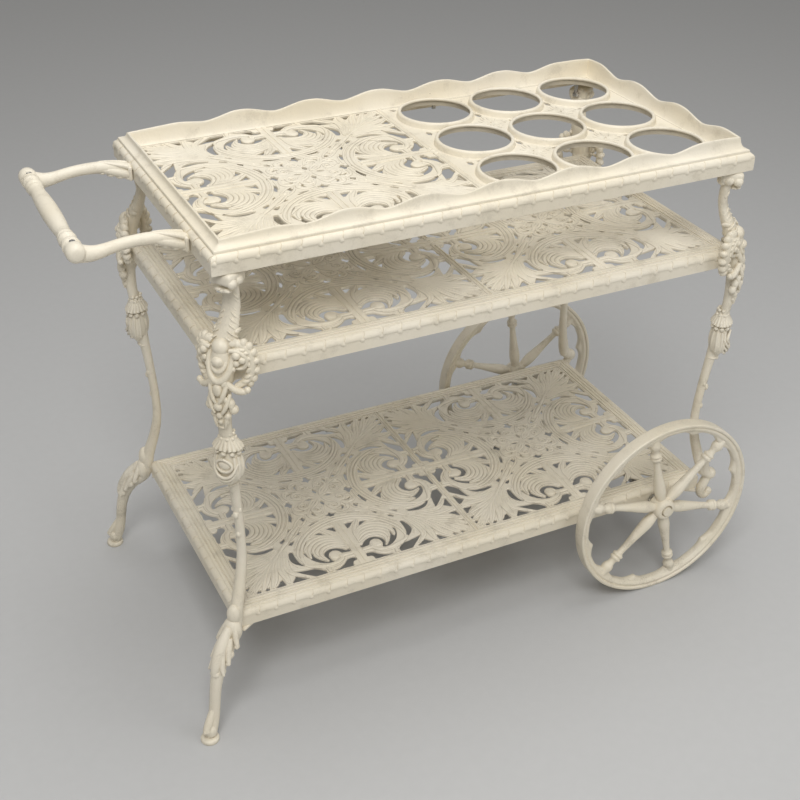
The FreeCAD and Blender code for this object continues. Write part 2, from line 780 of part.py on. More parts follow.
def volute(height, side):
    """A small scroll standing out from the leg towards the wheel end, clear of the wheel beside it."""
    angle = math.radians(number("leg_angle")) * side
    ahead = vector(math.cos(angle), -math.sin(angle), 0)
    across = vector(math.sin(angle), math.cos(angle), 0)
    width = number("volute_width")
    centre = ahead * number("volute_reach") + vector(0, 0, height)
    return Part.makeCylinder(number("volute_radius"), width, centre - across * (width / 2), across)


def leg_shape(with_foot, side):
    """One cast leg: limb, cap, two shelf lugs and either a disc foot or a pair of small scrolls."""
    bottom = number("bottom_level")
    lug = number("lug_thickness")
    width = number("lug_width")
    top = number("tray_level")
    stations = leg_line() + (foot_line() if with_foot else [(2, bottom - 5, 9)])
    pieces = [block(-number("cap_reach"), -number("cap_front"), width, top - lug, top)]
    for level in ("middle_level", "bottom_level"):
        pieces.append(block(-number("lug_reach"), 0, width, number(level) - lug, number(level)))
    lift = number("volute_lift")
    if with_foot:
        ball = number("corner_ball_radius")
        foot = vector(number("foot_reach"), 0, 0)
        pieces.append(Part.makeSphere(ball, vector(ball / 2, 0, bottom + lift)))
        pieces.append(Part.makeCylinder(number("foot_radius"), number("foot_thickness"), foot))
    else:
        pieces.append(volute(bottom + lift, side))
        pieces.append(volute(bottom - number("volute_drop"), side))
    shape = limb(stations).multiFuse(pieces)
    depth = number("lug_reach")
    for level, seat in (("middle_level", "leg_seat_middle"), ("bottom_level", "leg_seat_bottom")):
        low = number(level)
        shape = shape.cut(block(-depth, -number(seat), 2 * depth, low, low + number("bead_top")))
    hole = number("leg_bolt_radius") + number("hole_clearance")
    for level, reach in (("tray_level", "tray_bolt_reach"), ("middle_level", "shelf_bolt_reach"),
                         ("bottom_level", "shelf_bolt_reach")):
        at = vector(-number(reach), 0, number(level) - 2 * lug)
        shape = shape.cut(Part.makeCylinder(hole, 2 * lug, at))
    return shape.removeSplitter()


def leg(label, end, side, with_foot):
    """A leg at one corner of the tray, its plane turned out from the tray's long side."""
    feature = doc.addObject("Part::Feature", label)
    feature.Shape = leg_shape(with_foot, side)
    angle = number("leg_angle") * side
    turn = angle if end > 0 else 180 - angle
    corner = vector(number("tray_x") + end * number("tray_length") / 2, side * number("tray_width") / 2, 0)
    feature.Placement = FreeCAD.Placement(corner, FreeCAD.Rotation(vector(0, 0, 1), turn))
    return feature


def arm_shape():
    """One handle arm: pad on the fascia, curved limb and an elbow with a socket for the grip."""
    reach = number("handle_reach")
    height = number("handle_height")
    root = number("arm_root_height")
    pad_width = number("arm_pad_width")
    elbow = number("elbow_length")
    stations = [
        (1, root, 9),
        (12, root + 5, 8.5),
        (28, height - 1, 7.5),
        (52, height + 1, 7),
        (reach - 50, height - 1, 6.5),
        (reach - 26, height - 3, 6.5),
        (reach - 10, height - 1, 7.5),
        (reach, height, 8),
    ]
    radius = number("grip_radius")
    along_y = vector(0, 1, 0)
    pieces = [
        block(0, number("arm_pad_thickness"), pad_width, 0, number("fascia_height")),
        Part.makeCylinder(radius, elbow, vector(reach, -elbow / 2, height), along_y),
    ]
    inside = block(-2 * radius, 0, 2 * pad_width, -2 * radius, 2 * number("fascia_height"))
    shape = limb(stations).cut(inside).multiFuse(pieces)
    runout = number("hole_runout")
    socket = number("spigot_radius") + number("thread_clearance")
    depth = number("spigot_length") + runout
    shape = shape.cut(Part.makeCylinder(socket, depth, vector(reach, -elbow / 2, height), along_y))
    screw = number("grip_screw_radius") + number("hole_clearance")
    head = number("grip_screw_head_radius") + number("hole_clearance")
    spot = -elbow / 2 + number("spigot_length") / 2
    shape = shape.cut(Part.makeCylinder(screw, radius, vector(reach, spot, height)))
    seat = height + number("grip_screw_seat")
    shape = shape.cut(Part.makeCylinder(head, radius, vector(reach, spot, seat)))
    thread = number("handle_bolt_radius") + number("thread_clearance")
    bite = number("handle_bolt_bite") - number("fascia_wall")
    return shape.cut(Part.makeCylinder(thread, bite + runout, vector(0, 0, root), vector(1, 0, 0)))


def handle_arm(label, side):
    """An arm on the handle end's fascia, its socket towards the other arm."""
    feature = doc.addObject("Part::Feature", label)
    shape = arm_shape()
    if side < 0:
        shape = shape.mirror(vector(0, 0, 0), vector(0, 1, 0))
    shape = shape.mirror(vector(0, 0, 0), vector(1, 0, 0))
    feature.Shape = shape
    fascia = number("tray_x") - number("tray_length") / 2
    spot = vector(fascia, side * number("handle_spread") / 2, number("tray_level"))
    feature.Placement = FreeCAD.Placement(spot, UPRIGHT)
    return feature


def handle_grip():
    """A turned grip with collars, a swelling middle and a spigot at each end."""
    body = put(new_body("handle_grip"), "places.grip_x", "0", "places.grip_z")
    half = sketch_on(body, "grip_half_outline", "XY_Plane")
    end = "places.grip_half"
    rings = (
        ("sizes.grip_waist_radius", "sizes.grip_waist_place"),
        ("sizes.grip_collar_radius", "sizes.grip_bead_place"),
        ("sizes.grip_neck_radius", "sizes.grip_neck_place"),
        ("sizes.grip_collar_radius", "sizes.grip_collar_length"),
        ("sizes.grip_collar_radius", "0"),
    )
    right = [(radius, "%s - %s" % (end, place)) for radius, place in rings]
    right.append(("sizes.spigot_radius", end))
    right.append(("sizes.spigot_radius", "%s + sizes.spigot_length" % end))
    right.append(("0", "%s + sizes.spigot_length" % end))
    left = [(radius, "0 - (%s)" % place) for radius, place in reversed(right)]
    outline(half, left + [("sizes.grip_belly_radius", "0")] + right)
    turned(body, half, "Y_Axis")
    holes = sketch_on(body, "grip_screw_holes", "XY_Plane")
    for sign in ("", "0 - "):
        spot = "%s(%s + sizes.spigot_length / 2)" % (sign, end)
        circle(holes, "0", spot, "sizes.grip_screw_radius + sizes.thread_clearance")
    pocket(body, holes, midplane=True)
    return body


def grip_screws():
    """One screw down through each elbow into the grip's spigot."""
    screws = []
    for index, sign in enumerate(("", "0 - ")):
        spot = ("places.grip_x", "%s(places.grip_half + sizes.spigot_length / 2)" % sign,
                "places.grip_z + sizes.grip_screw_seat")
        screws.append(bolt("grip_screw_%d" % index, spot, "sizes.grip_screw_radius",
                           "sizes.grip_screw_seat + sizes.spigot_radius / 2",
                           "sizes.grip_screw_head_radius", "sizes.grip_screw_head_height",
                           FreeCAD.Rotation(vector(1, 0, 0), 180)))
    return bolt_group("grip_screws", screws)


def handle_bolts():
    """One bolt out through the fascia into each arm's root."""
    bolts = []
    for index, sign in enumerate(("", "0 - ")):
        spot = ("places.tray_x - sizes.tray_length / 2 + sizes.fascia_wall",
                sign + "sizes.handle_spread / 2", "places.tray_level + sizes.arm_root_height")
        bolts.append(bolt("handle_bolt_%d" % index, spot,
                          "sizes.handle_bolt_radius", "sizes.handle_bolt_bite",
                          "sizes.leg_bolt_head_radius", "sizes.leg_bolt_head_height",
                          FreeCAD.Rotation(vector(0, 1, 0), -90)))
    return bolt_group("handle_bolts", bolts)


# Wheels, axle and what holds them.

def wheel(label, side, turn):
    """A one-piece wheel: hub, six turned spokes, stepped rim and six cusps."""
    body = new_body(label)
    put(body, "places.axle_x", "%d * places.wheel_mid" % side, "sizes.wheel_radius",
        FreeCAD.Rotation(vector(0, 1, 0), number(turn)))
    lip = "(sizes.wheel_radius - sizes.rim_depth - sizes.lip_depth)"
    knop = "(%s - sizes.spoke_knop_inset)" % lip
    bulb = "(%s - sizes.spoke_bulb_inset)" % lip
    spoke = sketch_on(body, label + "_spoke", "XZ_Plane")
    outline(spoke, (
        ("0", "0"),
        ("sizes.spoke_root_radius", "0"),
        ("sizes.spoke_root_radius", "sizes.hub_radius + sizes.spoke_root_length"),
        ("sizes.spoke_waist_radius", knop),
        ("sizes.spoke_knop_radius", knop),
        ("sizes.spoke_knop_radius", knop + " + sizes.spoke_knop_length"),
        ("sizes.spoke_waist_radius", knop + " + sizes.spoke_knop_length"),
        ("sizes.spoke_bulb_radius", bulb),
        ("sizes.spoke_bulb_radius", lip + " + sizes.weld"),
        ("0", lip + " + sizes.weld"),
    ))
    around(body, turned(body, spoke, "Z_Axis"), "Y_Axis", SPOKES)
    rim = sketch_on(body, label + "_rim", "XY_Plane")
    step = "(sizes.wheel_radius - sizes.rim_depth)"
    outline(rim, (
        (lip, "0 - sizes.lip_width / 2"),
        (step, "0 - sizes.lip_width / 2"),
        (step, "0 - sizes.rim_width / 2"),
        ("sizes.wheel_radius", "0 - sizes.rim_width / 2"),
        ("sizes.wheel_radius", "sizes.rim_width / 2"),
        (step, "sizes.rim_width / 2"),
        (step, "sizes.lip_width / 2"),
        (lip, "sizes.lip_width / 2"),
    ))
    turned(body, rim, "Y_Axis")
    cusp = sketch_on(body, label + "_cusp", "XZ_Plane")
    outline(cusp, (
        (lip + " + sizes.weld", "0 - sizes.cusp_width / 2"),
        (lip + " + sizes.weld", "sizes.cusp_width / 2"),
        (lip + " - sizes.cusp_height", "0"),
    ))
    around(body, pad(body, cusp, "sizes.lip_width", midplane=True), "Y_Axis", SPOKES)
    hub = sketch_on(body, label + "_hub", "XY_Plane")
    half = "sizes.hub_length / 2"
    outline(hub, (
        ("0", "0 - " + half),
        ("sizes.hub_radius - sizes.hub_round", "0 - " + half),
        ("sizes.hub_radius", "0 - (%s - sizes.hub_round)" % half),
        ("sizes.hub_radius", half + " - sizes.hub_round"),
        ("sizes.hub_radius - sizes.hub_round", half),
        ("0", half),
    ))
    turned(body, hub, "Y_Axis")
    bore = sketch_on(body, label + "_bore", "XZ_Plane")
    circle(bore, "0", "0", "sizes.axle_radius + sizes.running_clearance")
    pocket(body, bore, midplane=True)
    recess_floor = "%d * (sizes.cap_recess - %s)" % (side, half)
    recess = sketch_on(body, label + "_recess", "XZ_Plane", recess_floor)
    circle(recess, "0", "0", "sizes.cap_radius + sizes.cap_recess_clearance")
    pocket(body, recess, reverse=side < 0)
    return body


def axle():
    """A plain round axle across the bottom shelf."""
    rod = solid("Part::Cylinder", "axle", Radius="sizes.axle_radius", Height="2 * places.axle_end")
    return put(rod, "places.axle_x", "0 - places.axle_end", "sizes.wheel_radius", ALONG_BACK)


def axle_spacer(label, side):
    """A tube between the shelf's fascia and a wheel hub."""
    tube = solid("Part::Cylinder", label + "_tube", Radius="sizes.spacer_radius",
                 Height="sizes.spacer_length")
    bore = solid("Part::Cylinder", label + "_bore", Radius="sizes.axle_radius + sizes.running_clearance",
                 Height="sizes.spacer_length")
    inner = "places.shelf_width / 2 + sizes.side_play"
    start = inner if side > 0 else "0 - (%s) - sizes.spacer_length" % inner
    return put(cut(label, tube, bore), "places.axle_x", start, "sizes.wheel_radius", ALONG_BACK)


def axle_cap(label, side):
    """A round cap on the axle's end, sunk in the hub."""
    thickness = "places.cap_outer - places.cap_inner"
    disc = solid("Part::Cylinder", label + "_disc", Radius="sizes.cap_radius", Height=thickness)
    socket = solid("Part::Cylinder", label + "_socket", Radius="sizes.axle_radius + sizes.thread_clearance",
                   Height="sizes.cap_socket + sizes.hole_runout")
    turn = FreeCAD.Rotation(vector(1, 0, 0), -90 * side)
    inner = "%d * places.cap_inner" % side
    return put(cut(label, disc, socket), "places.axle_x", inner, "sizes.wheel_radius", turn)


def axle_bracket(label, side):
    """A bearing block under the shelf's border, bolted up into it, with the axle through it."""
    height = "sizes.bracket_floor - sizes.axle_inset + places.border_bottom"
    base = solid("Part::Box", label + "_block", Length="sizes.bracket_length",
                 Width="sizes.bracket_width", Height=height)
    inner = "places.bracket_mid - sizes.bracket_width / 2"
    near = inner if side > 0 else "0 - places.bracket_outer"
    put(base, "places.axle_x - sizes.bracket_length / 2", near, "sizes.wheel_radius - sizes.bracket_floor")
    bore = solid("Part::Cylinder", label + "_bore", Radius="sizes.axle_radius + sizes.running_clearance",
                 Height="3 * sizes.bracket_width")
    put(bore, "places.axle_x", near + " - sizes.bracket_width", "sizes.wheel_radius", ALONG_BACK)
    holes = [bore]
    for index, sign in enumerate((" + ", " - ")):
        hole = solid("Part::Cylinder", "%s_hole_%d" % (label, index),
                     Radius="sizes.bracket_bolt_radius + sizes.hole_clearance", Height="2 * (%s)" % height)
        holes.append(put(hole, "places.axle_x" + sign + "sizes.bracket_bolt_spread / 2",
                         "%d * places.bracket_mid" % side, "sizes.wheel_radius - 2 * sizes.bracket_floor"))
    return cut(label, base, combine("Part::MultiFuse", label + "_holes", holes))


def bracket_bolts():
    """Two bolts up through each axle bracket into the shelf's border."""
    length = "sizes.bracket_floor - sizes.axle_inset + places.border_bottom + sizes.bracket_bolt_bite"
    bolts = []
    for side in (-1, 1):
        for sign in (" + ", " - "):
            spot = ("places.axle_x" + sign + "sizes.bracket_bolt_spread / 2",
                    "%d * places.bracket_mid" % side, "sizes.wheel_radius - sizes.bracket_floor")
            bolts.append(bolt("bracket_bolt_%d" % len(bolts), spot, "sizes.bracket_bolt_radius", length,
                              "sizes.bracket_bolt_head_radius", "sizes.bracket_bolt_head_height"))
    return bolt_group("bracket_bolts", bolts)


def build():
    """All the cart's pieces, one object each."""
    tray_tile = ("places.tray_tile_length", "places.tray_tile_width")
    shelf_tile = ("places.shelf_tile_length", "places.shelf_tile_width")
    pieces = [
        tray_frame(),
        scroll_panel("tray_scroll_panel", "-", *tray_tile, TRAY_SEAT),
        bottle_panel(),
        shelf_frame("middle_frame", "places.middle_level", "sizes.leg_seat_middle"),
        bottom_frame(),
    ]
    for shelf in ("middle", "bottom"):
        level = "places.%s_level" % shelf
        seat = level + " + sizes.shelf_seat"
        pieces.append(scroll_panel(shelf + "_left_panel", "-", *shelf_tile, seat))
        pieces.append(scroll_panel(shelf + "_right_panel", "+", *shelf_tile, seat))
        pieces.append(panel_screws(shelf + "_panel_screws", level + " + places.shelf_ledge", *shelf_tile))
        pieces.append(leg_bolts(shelf + "_leg_bolts", level, "places.shelf_bolt_x", "places.shelf_bolt_y"))
    pieces.append(panel_screws("tray_panel_screws", "places.tray_level + places.tray_ledge", *tray_tile))
    tray_bolt = ("places.tray_bolt_x", "places.tray_bolt_y")
    pieces.append(leg_bolts("tray_leg_bolts", "places.tray_level", *tray_bolt))
    for name, side in (("front", -1), ("back", 1)):
        pieces.append(leg(name + "_handle_leg", -1, side, True))
        pieces.append(leg(name + "_wheel_leg", 1, side, False))
        pieces.append(handle_arm(name + "_handle_arm", side))
        pieces.append(wheel(name + "_wheel", side, name + "_wheel_turn"))
        pieces.append(axle_spacer(name + "_axle_spacer", side))
        pieces.append(axle_cap(name + "_axle_cap", side))
        pieces.append(axle_bracket(name + "_axle_bracket", side))
    pieces += [handle_grip(), grip_screws(), handle_bolts(), axle(), bracket_bolts()]
    return pieces


def check(pieces):
    """Stops the build if any object failed or any piece has a bad shape."""
    failed = [thing.Name for thing in doc.Objects if "Invalid" in thing.State or "Error" in thing.State]
    bad = [piece.Label for piece in pieces if piece.Shape.isNull() or not piece.Shape.isValid()]
    if failed or bad:
        raise RuntimeError("failed objects: %s; bad shapes: %s" % (failed, bad))


fill(sizes, SIZES, "")
doc.recompute()
fill(places, PLACES, "=")
parts = build()
doc.recompute()
check(parts)
os.makedirs("parts", exist_ok=True)
for piece in parts:
    piece.Shape.exportStep("parts/%s.step" % piece.Label)
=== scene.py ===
import math

import bmesh
import bpy
from mathutils import Matrix, Vector


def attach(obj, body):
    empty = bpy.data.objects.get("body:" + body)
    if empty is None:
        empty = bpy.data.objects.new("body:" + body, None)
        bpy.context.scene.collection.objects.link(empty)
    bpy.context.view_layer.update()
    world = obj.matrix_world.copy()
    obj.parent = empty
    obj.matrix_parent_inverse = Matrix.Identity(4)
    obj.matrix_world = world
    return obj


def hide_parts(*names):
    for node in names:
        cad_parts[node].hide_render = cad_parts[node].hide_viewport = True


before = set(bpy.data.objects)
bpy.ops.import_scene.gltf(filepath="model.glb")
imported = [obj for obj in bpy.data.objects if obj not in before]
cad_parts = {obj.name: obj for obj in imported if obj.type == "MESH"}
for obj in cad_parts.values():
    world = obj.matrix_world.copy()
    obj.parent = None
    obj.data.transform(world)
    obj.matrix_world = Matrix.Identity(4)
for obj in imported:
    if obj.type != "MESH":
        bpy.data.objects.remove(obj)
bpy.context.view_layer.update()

# Sizes in millimetres, in the cart's own frame: x towards the wheels, y to the back, z up.
TRAY_X = 40.75
TRAY_LENGTH, TRAY_WIDTH = 780, 408
SHELF_LENGTH, SHELF_WIDTH = 774, 402
TRAY_LEVEL, MIDDLE_LEVEL, BOTTOM_LEVEL = 684, 540, 148
BORDER = 24
# The panels' tops over the level of their border, and half the length and width of a panel.
TRAY_FLOOR, SHELF_FLOOR = 18, 25
TRAY_TILE = (183, 180)
SHELF_TILE = (181.5, 177)
TILE_LOW, TILE_HIGH = -5, -0.8
RING_PITCH = 118
BLOCK_PITCH = 26
GALLERY_LOW, GALLERY_HIGH, GALLERY_PITCH = 37, 46, 105
LEG_ANGLE, KNEE_TURN = math.radians(31), math.radians(10)
WHEEL_X, WHEEL_Y, WHEEL_Z = 341.75, 223.3, 151.5
SPOKES = 6
FRONT_SPOKE_TURN, BACK_SPOKE_TURN = -14, -8
GRIP_X, GRIP_Z = -481.25, 706
ARM_Y, HANDLE_FACE = 118, -349.25


# Finishes.
class Value:
    """A number that varies over a surface. Sums and products of such numbers add Math nodes."""

    def __init__(self, finish, socket):
        self.finish = finish
        self.socket = socket

    def maths(self, operation, first, second):
        return self.finish.node("ShaderNodeMath", {"operation": operation}, {0: first, 1: second})

    def __add__(self, other):
        return self.maths("ADD", self, other)

    def __radd__(self, other):
        return self.maths("ADD", other, self)

    def __sub__(self, other):
        return self.maths("SUBTRACT", self, other)

    def __rsub__(self, other):
        return self.maths("SUBTRACT", other, self)

    def __mul__(self, other):
        return self.maths("MULTIPLY", self, other)

    def __rmul__(self, other):
        return self.maths("MULTIPLY", other, self)

    def step(self, low, high):
        """0 below low, 1 above high and a soft slope between."""
        settings = {"interpolation_type": "SMOOTHSTEP"}
        return self.finish.node("ShaderNodeMapRange", settings, {0: self, 1: low, 2: high})


class Finish:
    """One finish: a material with its nodes."""

    def __init__(self, name):
        self.material = bpy.data.materials.new(name)
        self.material.use_nodes = True
        self.tree = self.material.node_tree
        self.shader = self.tree.nodes["Principled BSDF"]
        self.place = self.node("ShaderNodeTexCoord", out="Object")

    def node(self, kind, settings=None, sockets=None, out=0):
        """Adds a node: its settings first, then the values or links of its sockets."""
        made = self.tree.nodes.new(kind)
        for key, value in (settings or {}).items():
            setattr(made, key, value)
        for key, value in (sockets or {}).items():
            self.feed(made.inputs[key], value)
        return Value(self, made.outputs[out])

    def feed(self, socket, value):
        """Links a varying value to a socket, or sets a plain one."""
        if isinstance(value, Value):
            self.tree.links.new(value.socket, socket)
        else:
            socket.default_value = value

    def noise(self, scale, detail=3, roughness=0.55):
        return self.node("ShaderNodeTexNoise", None, {
            "Vector": self.place, "Scale": scale, "Detail": detail, "Roughness": roughness})

    def blend(self, share, first, second):
        """The first colour where share is 0, the second where it is 1."""
        return self.node("ShaderNodeMix", {"data_type": "RGBA"}, {0: share, 6: first, 7: second}, out=2)

    def set(self, **sockets):
        """Feeds the shader's sockets and gives the finished material."""
        for name, value in sockets.items():
            self.feed(self.shader.inputs[name.replace("_", " ")], value)
        return self.material

    def bump(self, height, strength, distance):
        return self.node("ShaderNodeBump", None, {
            "Height": height, "Strength": strength, "Distance": distance})


def cream_paint(name, carved=False):
    """Old cream paint brushed over cast metal: yellowed patches, grey grime and a few chips. On carved
    castings the hollows also get painted shade with some dirt.
    """
    finish = Finish(name)
    patches = finish.noise(5, 3).step(0.38, 0.66)
    clouds = finish.noise(34, 4, 0.6)
    grain = finish.noise(420, 3, 0.6)
    lumps = finish.noise(120, 2)
    height = finish.node("ShaderNodeSeparateXYZ", None, {0: finish.place}, out="Z")
    colour = finish.blend(patches, (0.79, 0.73, 0.605, 1), (0.755, 0.685, 0.54, 1))
    colour = finish.blend(clouds.step(0.5, 0.75) * 0.4, colour, (0.67, 0.61, 0.49, 1))
    low_dirt = 1 - height.step(0.02, 0.22)
    grime = (clouds + grain * 0.5).step(0.74, 1.02) * (0.25 + 0.35 * low_dirt)
    if carved:
        raised = finish.node("ShaderNodeAttribute", {"attribute_name": "raised"}, out="Fac")
        # Painted shade with some dirt: the low parts of the carving, the holes' walls, the grooves and the
        # rings' skirts are darkened brown.
        hollow = 1 - raised.step(0.05, 0.7)
        colour = finish.blend(hollow * (0.4 + 0.5 * clouds), colour, (0.29, 0.25, 0.185, 1))
    colour = finish.blend(grime, colour, (0.40, 0.35, 0.26, 1))
    chips = (finish.noise(75, 4, 0.7) + 0.2 * finish.noise(9)).step(0.845, 0.865)
    colour = finish.blend(chips, colour, (0.16, 0.13, 0.10, 1))
    roughness = 0.40 + 0.16 * clouds + 0.2 * grime + 0.2 * chips
    surface = grain * 0.35 + lumps - chips * 0.8
    return finish.set(Base_Color=colour, Roughness=roughness, Normal=finish.bump(surface, 0.28, 0.0011))


def bare_steel(name):
    """Dull zinc-grey steel with rust bloom and flecks of cream paint."""
    finish = Finish(name)
    bloom = finish.noise(60, 4, 0.65).step(0.48, 0.72)
    flecks = finish.noise(210, 3, 0.6).step(0.56, 0.62)
    scratches = finish.noise(900, 2)
    colour = finish.blend(bloom, (0.42, 0.42, 0.41, 1), (0.22, 0.125, 0.07, 1))
    colour = finish.blend(flecks * 0.8, colour, (0.74, 0.69, 0.57, 1))
    metal = (1 - bloom * 0.8) * (1 - flecks)
    roughness = 0.32 + 0.3 * bloom + 0.2 * scratches
    return finish.set(Base_Color=colour, Metallic=metal, Roughness=roughness,
                      Normal=finish.bump(scratches + bloom, 0.2, 0.0006))


PAINT = cream_paint("cream_paint_on_castings")
CARVED_PAINT = cream_paint("cream_paint_on_pierced_tiles", carved=True)
STEEL = bare_steel("worn_steel")


# Ways of making a form.
def pour(bm, curve, smooth=True):
    """Adds a curve's surface to the mesh and gives its new vertices."""
    holder = bpy.data.objects.new("form", curve)
    surface = bpy.data.meshes.new_from_object(holder)
    bpy.data.objects.remove(holder)
    bpy.data.curves.remove(curve)
    return stamp(bm, surface, smooth=smooth)


def stamp(bm, surface, place=None, smooth=None, keep=False):
    """Adds a mesh to another, put in its place, and gives its new vertices."""
    verts, faces = len(bm.verts), len(bm.faces)
    bm.from_mesh(surface)
    bm.verts.ensure_lookup_table()
    bm.faces.ensure_lookup_table()
    made = bm.verts[verts:]
    if smooth is not None:
        for face in bm.faces[faces:]:
            face.smooth = smooth
    if place is not None:
        bmesh.ops.transform(bm, matrix=place, verts=made)
    if not keep:
        bpy.data.meshes.remove(surface)
    return made


def strands(bm, strokes, sides=2, steps=5):
    """Round strands along given lines. A stroke is a list of (x, y, z, radius)."""
    curve = bpy.data.curves.new("strand", "CURVE")
    curve.dimensions = "3D"
    curve.bevel_depth = 1
    curve.bevel_resolution = sides
    curve.resolution_u = steps
    curve.use_fill_caps = True
    for stroke in strokes:
        line = curve.splines.new("NURBS")
        line.points.add(len(stroke) - 1)
        for point, (x, y, z, radius) in zip(line.points, stroke):
            point.co = (x, y, z, 1)
            point.radius = radius
        line.order_u = min(4, len(stroke))
        line.use_endpoint_u = True
    return pour(bm, curve)


def turned(bm, profile, place=None, steps=24):
    """A form turned about an axis. The profile is a list of (along the axis, radius)."""
    form = bmesh.new()
    verts = [form.verts.new((radius, 0, along)) for along, radius in profile]
    edges = [form.edges.new(pair) for pair in zip(verts, verts[1:])]
    bmesh.ops.spin(form, geom=verts + edges, cent=(0, 0, 0), axis=(0, 0, 1),
                   angle=math.tau, steps=steps, use_merge=True)
    bmesh.ops.remove_doubles(form, verts=form.verts, dist=0.001)
    stamp(bm, as_mesh(form), place, smooth=True)


def as_mesh(form):
    """The finished form as a mesh of its own."""
    surface = bpy.data.meshes.new("form")
    form.to_mesh(surface)
    form.free()
    return surface


BALLS = {}


def knob(bm, centre, radii, across=14, around=9, lean=0):
    """A smooth rounded boss, leaning to the side by an angle. Balls of one fineness share a mesh."""
    if (across, around) not in BALLS:
        form = bmesh.new()
        bmesh.ops.create_uvsphere(form, u_segments=across, v_segments=around, radius=1)
        BALLS[across, around] = as_mesh(form)
    size = radii if isinstance(radii, tuple) else (radii, radii, radii)
    place = Matrix.Translation(centre) @ Matrix.Rotation(lean, 4, "Y") @ Matrix.Diagonal((*size, 1))
    return stamp(bm, BALLS[across, around], place, smooth=True, keep=True)


def straight(start, stop, radius):
    """A straight stroke for a strand, with its middle point."""
    middle = [(a + b) / 2 for a, b in zip(start, stop)]
    return [(*spot, radius) for spot in (start, middle, stop)]


def rounded_block(bm, low, high, bevel, place=None):
    """A block with its edges rounded over."""
    form = bmesh.new()
    bmesh.ops.create_cube(form, size=1)
    bmesh.ops.scale(form, vec=Vector(high) - Vector(low), verts=form.verts)
    bmesh.ops.translate(form, vec=(Vector(high) + Vector(low)) / 2, verts=form.verts)
    bmesh.ops.bevel(form, geom=form.edges[:], offset=bevel, segments=3, profile=0.5,
                    affect="EDGES", material=-1, clamp_overlap=True)
    return stamp(bm, as_mesh(form), place, smooth=True)


def skin(bm, along, across, place):
    """A sheet of faces laid over a surface: place(u, v) gives the point, u and v from 0 to 1."""
    made = bmesh.ops.create_grid(bm, x_segments=along, y_segments=across, size=1)["verts"]
    for vert in made:
        vert.co = place((vert.co.x + 1) / 2, (vert.co.y + 1) / 2)
    for face in {f for v in made for f in v.link_faces}:
        face.smooth = True


def moulding(bm, length, width, profile):
    """A moulding run round a rectangle with mitred corners. The profile is (inset, height)."""
    verts = [bm.verts.new((-length / 2 + inset, -width / 2 + inset, height)) for inset, height in profile]
    loop = [bm.edges.new(pair) for pair in zip(verts, verts[1:] + verts[:1])]
    for axis in (0, 1, 0, 1):
        grown = bmesh.ops.extrude_edge_only(bm, edges=loop)["geom"]
        fresh = {g for g in grown if isinstance(g, bmesh.types.BMVert)}
        loop = [g for g in grown if isinstance(g, bmesh.types.BMEdge) and set(g.verts) <= fresh]
        for vert in fresh:
            vert.co[axis] = -vert.co[axis]


def frame_of(across, out, up, spot):
    """The matrix of a frame, from its three axes and the spot where it stands."""
    place = Matrix((across, out, up)).transposed().to_4x4()
    place.translation = spot
    return place


def mirrored(profile):
    """A profile's other half, running back from its end."""
    return [(-along, radius) for along, radius in reversed(profile)]


# Edges that turn by more than this, in radians, stay sharp.
SHARP_ANGLE = 0.95


def piece(name, bm, body, finish, node):
    """Closes the mesh, turns it into metres and puts it on its body in place of the plain solid."""
    bmesh.ops.remove_doubles(bm, verts=bm.verts, dist=0.002)
    bmesh.ops.recalc_face_normals(bm, faces=bm.faces)
    for edge in bm.edges:
        if len(edge.link_faces) == 2 and edge.calc_face_angle(0) > SHARP_ANGLE:
            edge.smooth = False
    bmesh.ops.scale(bm, vec=(0.001, 0.001, 0.001), verts=bm.verts)
    mesh = bpy.data.meshes.new(name)
    bm.to_mesh(mesh)
    bm.free()
    mesh.materials.append(finish)
    made = bpy.data.objects.new(name, mesh)
    bpy.context.scene.collection.objects.link(made)
    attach(made, body)
    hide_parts(node)


# The pierced scroll tile. Points are (across, up) from the tile's middle, drawn for one eighth.
EIGHTHS = [(a, b, swap) for swap in (False, True) for a in (1, -1) for b in (1, -1)]
ON_AXES = [(1, 1, False), (1, -1, False), (1, 1, True), (1, -1, True)]
ON_DIAGONALS = [(a, b, False) for a in (1, -1) for b in (1, -1)]

SMOOTH_HOLES = [
    # Round the scroll's eye and on under the leaf, whose tongue and tip stand into it.
    [(8.5, -135.5), (12.5, -136), (17.5, -130.5), (25, -125.5), (32.5, -124), (39.8, -126.5),
     (45, -131.5), (47.4, -138), (46.4, -144.5), (45, -150.5), (51, -146.5), (57.5, -137.5), (60.8, -130),
     (62, -123.5), (63.6, -129.5), (66.4, -134.5), (69.4, -127.5), (71.6, -117), (72.6, -124),
     (69.8, -134), (64, -144.5), (54.6, -152.6), (45, -156), (38, -154.4), (40, -150), (41.4, -144),
     (41, -138.5), (38, -134.2), (32.4, -132.4), (26, -135.2), (21, -142), (15, -143), (8.5, -143)],
    # Outside the ring.
    [(87, -107.5), (90.8, -108), (94.2, -115.5), (96, -124), (95, -132.5), (90, -141), (83, -146.8),
     (77.5, -149), (81, -143.5), (84.6, -135.5), (86, -126), (86.3, -116)],
    # Swoosh at the edge.
    [(8.5, -157.5), (19.5, -157), (24, -161.5), (31, -167.5), (38, -171), (45.5, -173.7), (45, -175.8),
     (30, -175.8), (17, -175.6), (16.4, -170.8), (14, -167), (8.5, -165.5)],
]
